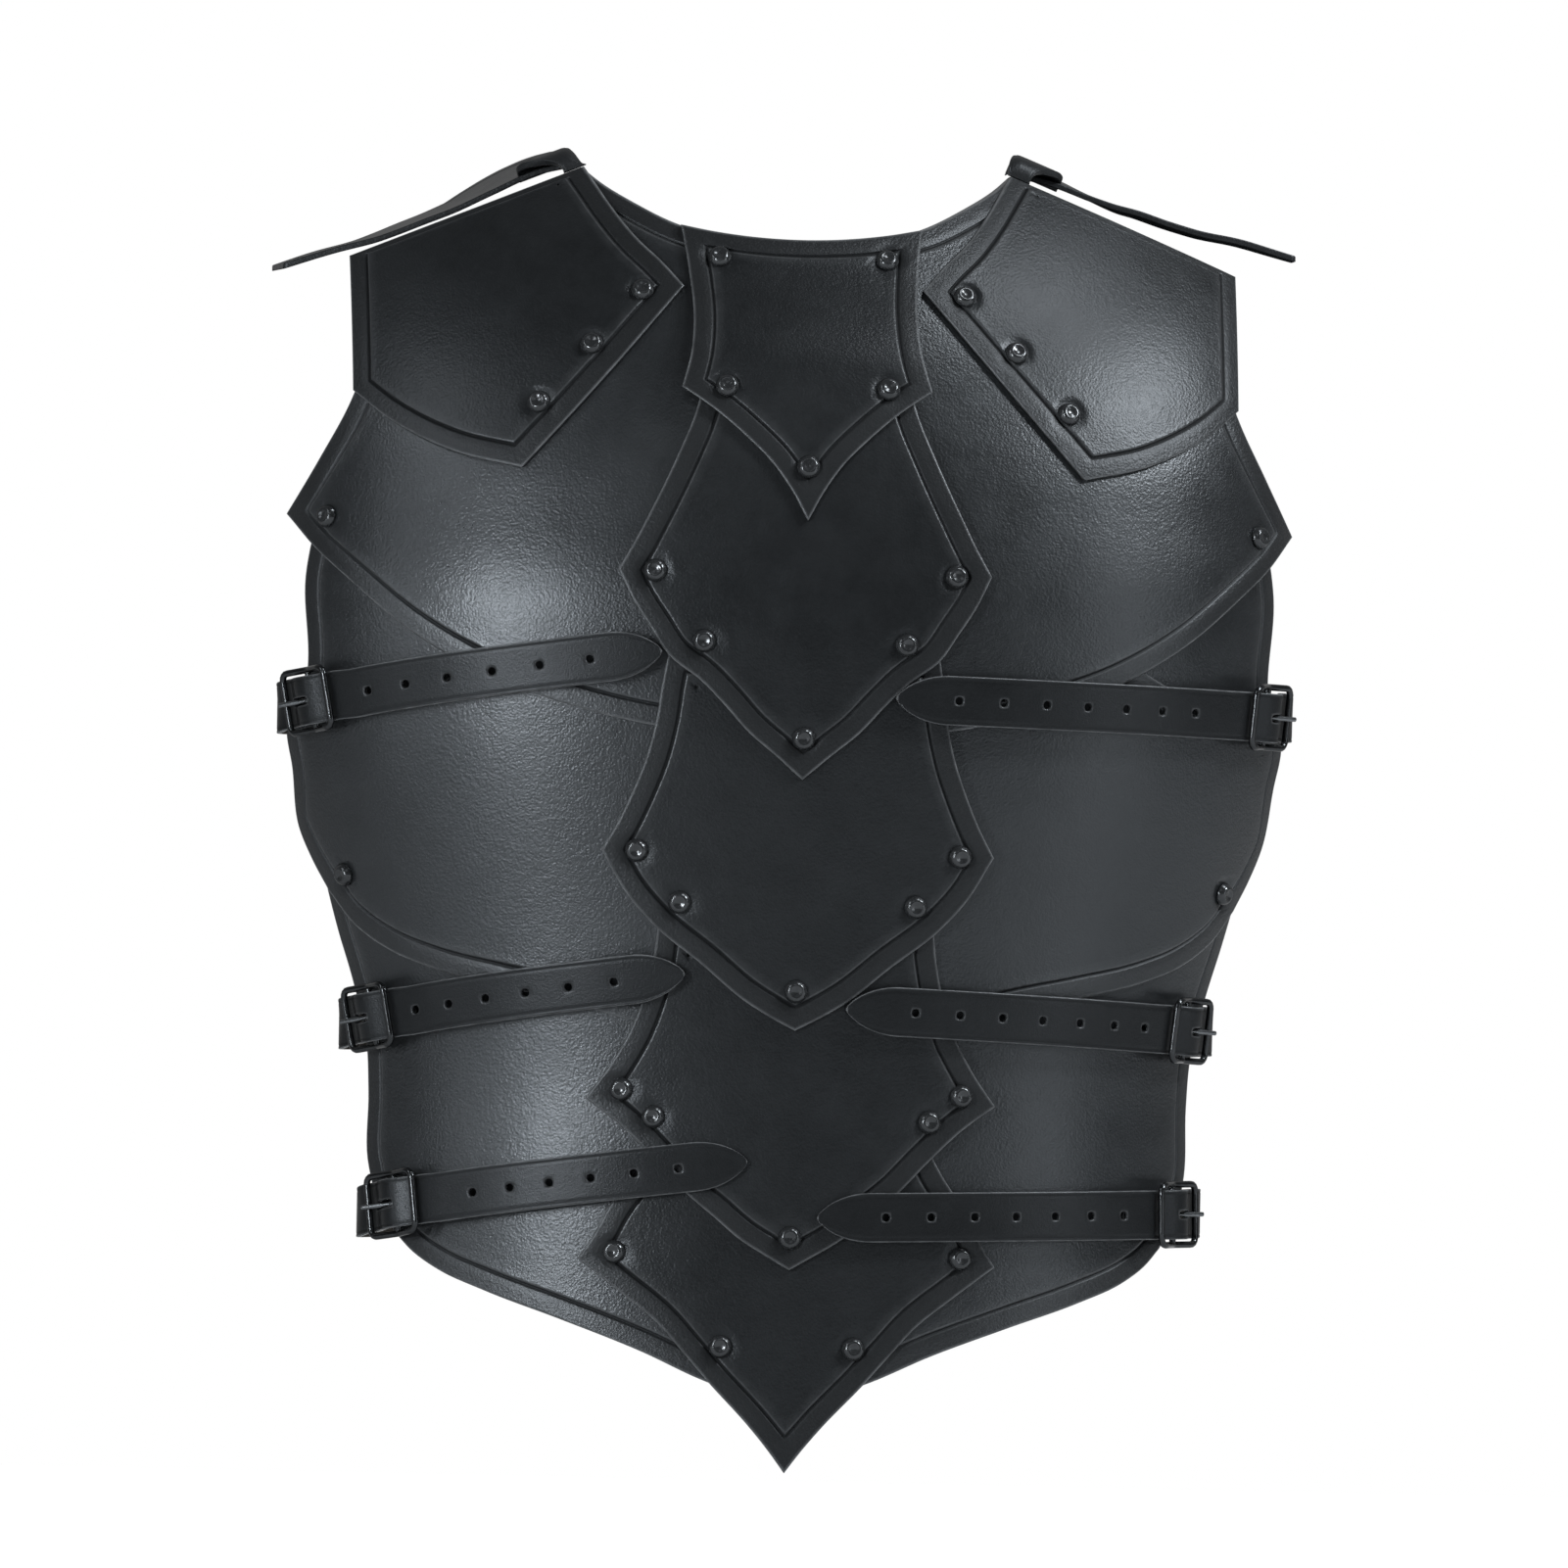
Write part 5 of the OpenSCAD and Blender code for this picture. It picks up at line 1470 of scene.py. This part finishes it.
@dataclass
class Buckle:
    """One buckle: its tab folded round the centre bar, its wire frame and its tongue."""

    seat: BuckleSeat

    def tab(self, finishes: Finishes) -> None:
        """Tab: a strip along one leg, round the bar and back along the other, with a slot for the tongue."""
        s = SIZES
        r = s.wire_d / 2 + s.bar_fit + s.tab_t / 2
        low, high = s.tab_floor + s.tab_t / 2, s.tab_floor + 1.5 * s.tab_t
        turn = np.radians(np.linspace(-105, -305, 17))
        loop = np.stack([r * np.cos(turn), r * np.sin(turn)], -1)
        middle = np.concatenate([
            pts(s.tab_l, low, 18, low, 10, low, 5, low, 2.2, low + 0.35), loop,
            pts(5.4, high + 0.9, 8.2, high + 0.1, 12, high, 18, high, s.tab_l, high)])
        dense = smooth_curve(middle, 140)
        centre = np.stack([dense[:, 0], np.zeros(len(dense)), dense[:, 1]], -1)
        path = StrapPath(centre, np.tile([0.0, 1.0, 0.0], (len(dense), 1)))
        fold = float(path.run[int(np.argmin(dense[:, 0]))])
        slot = Hole(fold - s.tab_slot_half, fold + s.tab_slot_half, s.tab_slot_r)
        net = StrapNet(float(path.run[-1]), s.tab_w / 2, [slot], step=2.0, margin=2.2,
                       fine=((fold - 16, fold + 16),)).make()
        front, behind = strap_skins(net, path, s.tab_t - 0.1, 0.7, 0.5)
        if path.out[len(path.out) // 2][0] >= 0:
            front, behind = behind, front
        faces, kind = solid_faces(turned_out(net.quads, front, behind), len(front))
        points = self.seat.at_tab(np.concatenate([front, behind]))
        marks = np.concatenate([net.marks, net.marks * [1, 0, 0]])
        node = f"{KEYS[self.seat.k]}_tab_{self.seat.label}"
        piece = write_piece(f"strap_{node}", points, faces, [finishes.strap, finishes.flesh], kind, marks,
                            self.handed(self.seat.at_tab))
        settle(piece, BODY, "strap_leather", node)

    def handed(self, carry: Callable[[Array], Array]) -> bool:
        """True where carrying points over mirrors them."""
        o, x, y, z = carry(np.array([[0, 0, 0], [1, 0, 0], [0, 1, 0], [0, 0, 1]], float))
        return float(np.cross(x - o, y - o) @ (z - o)) < 0

    def frame_loop(self) -> tuple[Array, list[list[int]]]:
        """Wire loop with rounded corners, its side bars dipping to the centre bar, and that bar."""
        s = SIZES
        rows = []
        for a, b, start in ((1, -1, -90), (1, 1, 0), (-1, 1, 90), (-1, -1, 180)):
            turn = np.radians(start + np.linspace(0, 90, 8))
            rows.append(np.stack([a * (s.bar_reach - s.corner_r) + s.corner_r * np.cos(turn),
                                  b * (s.frame_half_w - s.corner_r) + s.corner_r * np.sin(turn)], -1))
        flat = np.concatenate(rows)
        flat = np.concatenate([flat, flat[:1]])
        run = np.concatenate([[0], np.cumsum(np.linalg.norm(np.diff(flat, axis=0), axis=1))])
        want = np.arange(0, run[-1], 1.4)
        flat = np.stack([np.interp(want, run, flat[:, k]) for k in (0, 1)], -1)
        rise = s.end_rise * np.clip(np.abs(flat[:, 0]) / (s.bar_reach - s.corner_r), 0, 1)
        path = np.concatenate([flat, rise[:, None]], 1)
        loop = tube(path, np.full(len(path), s.wire_d / 2), 16, True, np.array([0.0, 0.0, 1.0]))
        place, width = domed_ends(2 * s.frame_half_w, s.wire_d / 2)
        bar = np.stack([0 * place, place - s.frame_half_w, 0 * place], -1)
        return joined([loop, tube(bar, width * 0.99, 20, False, np.array([0.0, 0.0, 1.0]))])

    def tongue_wire(self) -> tuple[Array, list[list[int]]]:
        """Tongue: a rounded eye on the bar, and a tapering arm that rests on the outer end bar."""
        s = SIZES
        inner, outer, half = s.wire_d / 2 + 0.2, s.loop_r - 0.15, s.tongue_d / 2 + 0.2
        section = np.array([(inner, -half * 0.8), (inner + 0.3, -half), (outer - 0.45, -half),
                            (outer, -half * 0.65), (outer, half * 0.65), (outer - 0.45, half),
                            (inner + 0.3, half), (inner, half * 0.8)])
        sides, corners = 32, len(section)
        turn = np.arange(sides) / sides * 2 * np.pi
        ring = np.stack([section[None, :, 0] * np.cos(turn)[:, None],
                         np.broadcast_to(section[None, :, 1], (sides, corners)),
                         section[None, :, 0] * np.sin(turn)[:, None]], -1).reshape(-1, 3)
        i = np.arange(sides)[:, None] * corners
        nxt = (np.arange(sides)[:, None] + 1) % sides * corners
        c = np.arange(corners)[None]
        d = (c + 1) % corners
        eye = (ring, np.stack([i + c, i + d, nxt + d, nxt + c], -1).reshape(-1, 4).tolist())
        root = np.array([-2.0, 0, 0.9])
        to_bar = np.array([-s.bar_reach, 0, s.end_rise]) - root
        slope = math.atan2(to_bar[2], -to_bar[0]) + math.asin((s.wire_d / 2 + s.tongue_d / 2 + 0.15)
                                                              / np.linalg.norm(to_bar))
        reach = (s.bar_reach - 2 + s.tongue_past) / math.cos(slope)
        place, width = domed_ends(reach, s.tongue_d / 2)
        fine = np.linspace(0, reach, 24)
        radius = np.interp(fine, place, width) * np.interp(fine, [0, reach * 0.55, reach], [1, 0.96, 0.84])
        arm = root + fine[:, None] * np.array([-math.cos(slope), 0, math.sin(slope)])
        return joined([eye, tube(arm, radius, 16, False, np.array([0.0, 1.0, 0.0]))])

    def tab_rivet(self) -> tuple[Array, list[list[int]]]:
        """Flat rivet of the tab, in the part's frame."""
        s = SIZES
        under = self.seat.seat_h[self.seat.k] + 1.3
        seat = s.tab_floor + 2 * s.tab_t
        foot = -2 * s.tab_t - under
        rows = np.array([(0, 1.25), (2.4, 1.2), (3.4, 0.95), (3.9, 0.5), (4.0, 0.15), (3.7, 0.05), (2.0, 0.0),
                         (2.0, foot + 0.05), (4.7, foot), (5.0, foot - 0.2), (5.0, foot - 0.75),
                         (4.65, foot - 1.0), (2.2, foot - 1.0), (2.0, foot - 1.25), (1.4, foot - 1.4),
                         (0, foot - 1.4)])
        points, faces = turned(rows, 32)
        points = self.seat.at_tab(points + [s.tab_rivet_at, 0, seat])
        if self.handed(self.seat.at_tab):
            faces = [face[::-1] for face in faces]
        return points, faces

    def build(self, finishes: Finishes) -> None:
        """Makes and seats the tab, the frame and the tongue."""
        self.tab(finishes)
        key = KEYS[self.seat.k]
        mirrored = self.handed(self.seat.at_buckle)
        for part, (points, faces), finish in (("frame", self.frame_loop(), finishes.buckle),
                                              ("tongue", self.tongue_wire(), finishes.tongue)):
            node = f"{key}_{part}_{self.seat.label}"
            piece = write_piece(f"metal_{node}", self.seat.at_buckle(points), faces, [finish],
                                mirrored=mirrored)
            slot = "buckle_metal" if part == "frame" else "tongue_metal"
            settle(piece, body_of_node(node), slot, node)


def body_of_node(node: str) -> str:
    """Body that carries a CAD node, by the record."""
    bodies = frame["record"]["behaviour"]["bodies"]
    return next(body for body, nodes in bodies.items() if node in nodes)


@dataclass(frozen=True)
class ShoulderFlap:
    """Rear lobe of a shoulder plate, folded back over the shoulder behind a rolled neck corner.

    Attributes:
        side: side of the body.
        curl_x: middle of the roll, from the body's middle.
        curl_w: width of the roll.
        roll_gap: how far over the plate's top edge the roll starts.
        flap_gap: how far behind the form's front the lobe starts.
        sweep: how much further back the lobe starts with each millimetre outwards.
        tilt: slope of the crest at the roll, in degrees.
        inner: place and depth of the lobe's inner end.
        outer: place and depth of its outer end.
        hump: place and width of the roll's fall towards the neck.
        neck_drop: place, width and depth of the last of that fall.
    """

    side: Side
    curl_x: float = 104.5
    curl_w: float = 25.0
    roll_gap: float = -0.1
    flap_gap: float = 2.0
    sweep: float = 0.12
    tilt: float = 22.1
    inner: tuple[float, float] = (98.0, 62.0)
    outer: tuple[float, float] = (227.6, 40.0)
    hump: tuple[float, float] = (101.5, 10.5)
    neck_drop: tuple[float, float, float] = (100.0, 9.0, 6.0)

    def tables(self, x: Array) -> tuple[Array, Array]:
        """Height of the front edge and depth of the lobe at a distance from the middle."""
        front = smooth_curve(pts(98, -4.2, 115.5, -8.5, 134, -17, 156, -27, 182.5, -35, 203.4, -39.6,
                                 227.6, -48), 200)
        depth = smooth_curve(pts(98, 62, 128, 92, 150, 108, 176, 96, 206, 72, 227.6, 40), 200)
        return tuple(np.interp(x, rows[:, 0], rows[:, 1]) for rows in (front, depth))

    def leaning(self, x: Array) -> tuple[Array, Array]:
        """Rise to the rear, and height over the common line: the left flap has sagged, the right one not."""
        if self.side is Side.LEFT:
            rise = pts(98, 0.11, 103, 0.105, 117, 0.064, 130, 0.042, 143, 0.01, 228, 0.006)
            lift = pts(98, 0, 115, 0, 130, -0.2, 148, -0.7, 165, -1.4, 176, -2.8, 188, -4.3, 200, -5.1,
                       228, -4.7)
        else:
            rise = pts(98, 0.08, 125, 0.06, 150, 0.03, 228, 0.022)
            lift = pts(98, 0, 115, 0.4, 130, 2, 143, 4, 156, 6.6, 170, 6.8, 185, 6.8, 198, 7.3, 211, 7.9,
                       228, 9.3)
        return tuple(np.interp(x, rows[:, 0], rows[:, 1]) for rows in (rise, smooth_curve(lift, 120)))

    def start(self) -> tuple[float, float, float]:
        """Crest's height and angle at the curl, and where the flap begins."""
        z = float(np.interp(self.curl_x, *zip(CREST_IN, CREST_OUT)))
        a = float(TORSO.angle(self.curl_x, z))
        return z, a, float(TORSO.on(a, z, 0.0)[1]) + self.flap_gap

    def lobe(self) -> tuple[Array, Array, Array, Array]:
        """Closed lobe, level with the line of sight: points, faces, face kinds and marks."""
        _, _, start_y = self.start()
        (a, inner_depth), (b, outer_depth) = self.inner, self.outer
        x = np.linspace(a, b, 60)
        back = np.stack([x, self.tables(x)[1]], -1)[::-4]
        # Seen from above, the front edge is at the foot, so the outline runs back, outer, front, inner
        outline = [[EdgeCurve(back[::-1])], [EdgeCurve(pts(b, outer_depth, b, 0))],
                   [EdgeCurve(pts(b, 0, a, 0), 0.6, 0.0)], [EdgeCurve(pts(a, 0, a, inner_depth), 0.6, 0.0)]]
        net = sheet_net(outline, lambda p: p, 60, 40, Border(inner=12.5))
        px, py = net.at[:, 0], net.at[:, 1]
        edge = self.tables(px)[0]
        rise, stand = self.leaning(px)

        def at(lift: Array) -> Array:
            """Points of the lobe, lifted."""
            return np.stack([px + py * 0.06, start_y + self.sweep * (px - self.curl_x) + py,
                             edge + stand + rise * py + lift], -1)
        low = cut_edge(net) * -0.6
        points = np.concatenate([at(SHEET_T + np.minimum(net.lift, 0)), at(low)])
        faces, kind = solid_faces(net.quads, len(px))
        return points, faces, kind, np.concatenate([net.marks * [0, 1, 1], net.marks * [0, 0, 1]])

    def roll(self) -> tuple[Array, Array, Array, Array]:
        """Rolled corner: a strip up from the plate's top edge, over and down on to the lobe."""
        z, a, start_y = self.start()
        edge = TORSO.on(a, z, OVER_RIB_H + SHEET_T / 2)
        lead = start_y - edge[1]
        rows = pts(0, self.roll_gap, 0.4, 3.2, 1.8, 5.8, 4.2, 7.8, 7.6, 9, 11, 9.5, lead + 1, 9,
                   lead + 4.5, 7.6, lead + 7.5, 5.6, lead + 9.5, 3.8)
        dense = smooth_curve(rows, 90)
        tilt = math.radians(self.tilt)
        up = np.array([math.sin(tilt), 0, math.cos(tilt)])
        along = np.array([math.cos(tilt), 0, -math.sin(tilt)])
        foot = np.array([self.curl_x, edge[1], z])
        centre = foot + dense[:, :1] * np.array([0, 1.0, 0]) + dense[:, 1:] * up
        path = StrapPath(centre, np.tile(along, (len(dense), 1)))
        net = StrapNet(float(path.run[-1]), self.curl_w / 2, [], step=1.2).make()
        front, behind = (self.humped(net.at[:, 0], points, foot, up)
                         for points in strap_skins(net, path, SHEET_T))
        faces, kind = solid_faces(turned_out(net.quads, front, behind), len(front))
        marks = np.tile([0.0, 0.0, 1.0], (2 * len(front), 1))
        return np.concatenate([front, behind]), faces, kind * 0, marks

    def humped(self, run: Array, points: Array, foot: Array, up: Array) -> Array:
        """The roll's points: narrow at the crest, wider on to the lobe, and rounded down to the neck edge.

        Args:
            run: how far along the roll each point lies.
            points: points of a plain strap.
            foot: middle of the roll's start.
            up: direction square to the crest.

        Returns:
            The points moved.
        """
        inner, slope = foot[0] - self.curl_w / 2, math.tan(math.radians(self.tilt))
        shift = 4.5 if self.side is Side.LEFT else 0.5
        x = inner + (points[:, 0] - inner) * (0.42 + 0.58 * ease(run / 22))
        x = x + 2.4 + (shift - 1.5) * ease(run / 14)
        result = np.stack([x, points[:, 1], points[:, 2] + (points[:, 0] - x) * slope], -1)
        hump_x, hump_w = self.hump
        high = 0.12 + 0.88 * np.maximum(0, 1 - (np.maximum(0, hump_x + shift - x) / hump_w) ** 2) ** 0.7
        over = np.maximum(0, (result[:, 2] - foot[2] + (x - foot[0]) * slope) * up[2])
        neck_x, neck_w, drop = self.neck_drop
        result[:, 2] -= drop * (np.clip(neck_x + shift - x, 0, 7) / neck_w) ** 2 * ease((run - 1) / 8)
        return result + ((high - 1) * over)[:, None] * up

    def build(self, finishes: Finishes) -> None:
        """Makes and seats the flap with its roll."""
        lobe, roll = self.lobe(), self.roll()
        points = np.concatenate([lobe[0], roll[0]]) * [self.side.value, 1, 1]
        faces = np.concatenate([lobe[1], roll[1] + len(lobe[0])])
        node = f"shoulder_flap_{self.side.name.lower()}"
        piece = write_piece(f"leather_{node}", points, faces, [finishes.plate, finishes.flap_back],
                            np.concatenate([lobe[2], roll[2]]), np.concatenate([lobe[3], roll[3]]),
                            self.side is Side.LEFT)
        settle(piece, BODY, "plate_leather", node)


# Studio

WHITE = (1, 1, 1, 1)


@dataclass(frozen=True)
class Lamp:
    """A soft box: where it stands, what it faces, its size and its power."""

    name: str
    place: tuple[float, float, float]
    size: tuple[float, float]
    power: float
    aim: tuple[float, float, float] = (0.0, -0.05, -0.28)
    tint: tuple[float, float, float] = (0.965, 0.985, 1.0)

    def build(self) -> None:
        """Makes the lamp."""
        data = bpy.data.lights.new(self.name, "AREA")
        data.shape = "RECTANGLE"
        data.size, data.size_y = self.size
        data.energy = self.power
        data.color = self.tint
        lamp = bpy.data.objects.new(self.name, data)
        turn = (Vector(self.aim) - Vector(self.place)).to_track_quat("-Z", "Y")
        lamp.matrix_world = Matrix.Translation(self.place) @ turn.to_matrix().to_4x4()
        bpy.context.scene.collection.objects.link(lamp)


@dataclass(frozen=True)
class Studio:
    """Camera, soft light and a white surround."""

    aim: tuple[float, float, float] = (-0.0018, -0.06, -0.279)
    azimuth: float = -4.67
    elevation: float = -1.0
    distance: float = 14.0
    roll: float = 1.22
    lens: float = 719.6

    def camera(self) -> None:
        """Camera at the photograph's viewing angle, turned a little about its own axis."""
        data = bpy.data.cameras.new("camera")
        data.sensor_width = 36.0
        data.lens = self.lens
        data.dof.use_dof = False
        data.clip_end = 50.0
        camera = bpy.data.objects.new("camera", data)
        turn, roll, rise = (math.radians(v) for v in (self.azimuth, self.roll, self.elevation))
        back = Vector((math.sin(turn) * math.cos(rise), -math.cos(turn) * math.cos(rise), math.sin(rise)))
        right0 = Vector((math.cos(turn), math.sin(turn), 0))
        up0 = back.cross(right0)
        right = math.cos(roll) * right0 + math.sin(roll) * up0
        up = -math.sin(roll) * right0 + math.cos(roll) * up0
        place = Vector(self.aim) + back * self.distance
        camera.matrix_world = Matrix((
            (right.x, up.x, back.x, place.x), (right.y, up.y, back.y, place.y),
            (right.z, up.z, back.z, place.z), (0, 0, 0, 1)))
        bpy.context.scene.collection.objects.link(camera)
        bpy.context.scene.camera = camera

    def world(self) -> None:
        """White to the camera; to everything else a soft room, brighter behind the object."""
        world = bpy.data.worlds.new("surround")
        bpy.context.scene.world = world
        world.use_nodes = True
        tree = world.node_tree
        where = add_node(tree, "TexCoord", {}).outputs["Generated"]
        split = add_node(tree, "SeparateXYZ", {0: where})
        rear = add_node(tree, "MapRange", {"Value": split.outputs["Y"], "From Min": -0.2, "From Max": 0.5,
                                           "To Min": 0.032, "To Max": 0.28})
        room = connect(tree, tree.nodes["Background"], {"Color": WHITE, "Strength": rear.outputs[0]})
        white = add_node(tree, "Background", {"Color": WHITE, "Strength": 1.0})
        seen = add_node(tree, "LightPath", {}).outputs["Is Camera Ray"]
        mix = add_node(tree, "MixShader", {0: seen, 1: room.outputs[0], 2: white.outputs[0]})
        connect(tree, tree.nodes["World Output"], {"Surface": mix.outputs[0]})

    def floor(self) -> None:
        """Pale floor a little under the hem: white to the camera except where the object shades it."""
        mesh = bpy.data.meshes.new("floor")
        size, z = 6.0, -0.62
        mesh.from_pydata([(-size, -size, z), (size, -size, z), (size, size, z), (-size, size, z)], [],
                         [(0, 1, 2, 3)])
        floor = bpy.data.objects.new("floor", mesh)
        material = bpy.data.materials.new("floor_white")
        material.use_nodes = True
        tree = material.node_tree
        seen = add_node(tree, "LightPath", {}).outputs["Is Camera Ray"]
        connect(tree, tree.nodes["Principled BSDF"], {
            "Base Color": (0.72, 0.72, 0.72, 1), "Roughness": 0.9, "Specular IOR Level": 0.1,
            "Emission Color": WHITE, "Emission Strength": math_node(tree, "MULTIPLY", seen, 0.93)})
        mesh.materials.append(material)
        bpy.context.scene.collection.objects.link(floor)

    def build(self) -> None:
        """Sets the studio up."""
        self.camera()
        self.world()
        self.floor()
        for lamp in (
            Lamp("strip_left", (-1.74, -2.36, -0.03), (0.24, 0.9), 42.0),
            Lamp("side_left", (-2.56, -1.41, -0.13), (0.3, 1.4), 8.0),
            Lamp("upper_left", (-1.95, -1.31, 1.29), (0.8, 0.8), 11.0),
            Lamp("upper_right", (2.00, -1.11, 1.37), (0.6, 0.6), 62.0),
            Lamp("high_right", (1.16, -0.83, 2.14), (0.6, 0.6), 22.0),
            Lamp("side_right", (2.28, -1.83, -0.18), (0.3, 1.4), 8.0),
            Lamp("upper_front", (-0.24, -2.36, 1.29), (0.8, 0.8), 2.0),
        ):
            lamp.build()


def main() -> None:
    """Builds the armour piece by piece, then the studio."""
    logging.basicConfig(level=logging.INFO, format="%(name)s: %(message)s")
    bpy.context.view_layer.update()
    bpy.context.scene.view_settings.view_transform = "Standard"
    finishes = Finishes()
    SheetWork().build(finishes)
    for side in Side:
        ShoulderFlap(side).build(finishes)
    for k in range(len(KEYS)):
        Belt(k).build(finishes)
    for side in Side:
        shells = []
        for k in range(len(KEYS)):
            buckle = Buckle(BuckleSeat(k, side))
            buckle.build(finishes)
            shells.append(buckle.tab_rivet())
        points, faces = joined(shells)
        node = f"tab_rivets_{side.name.lower()}"
        settle(write_piece(f"metal_{node}", points, faces, [finishes.rivet]), BODY, "rivet_metal", node)
    Rivet().build(finishes)
    Studio().build()


if __name__ == "__main__":
    main()
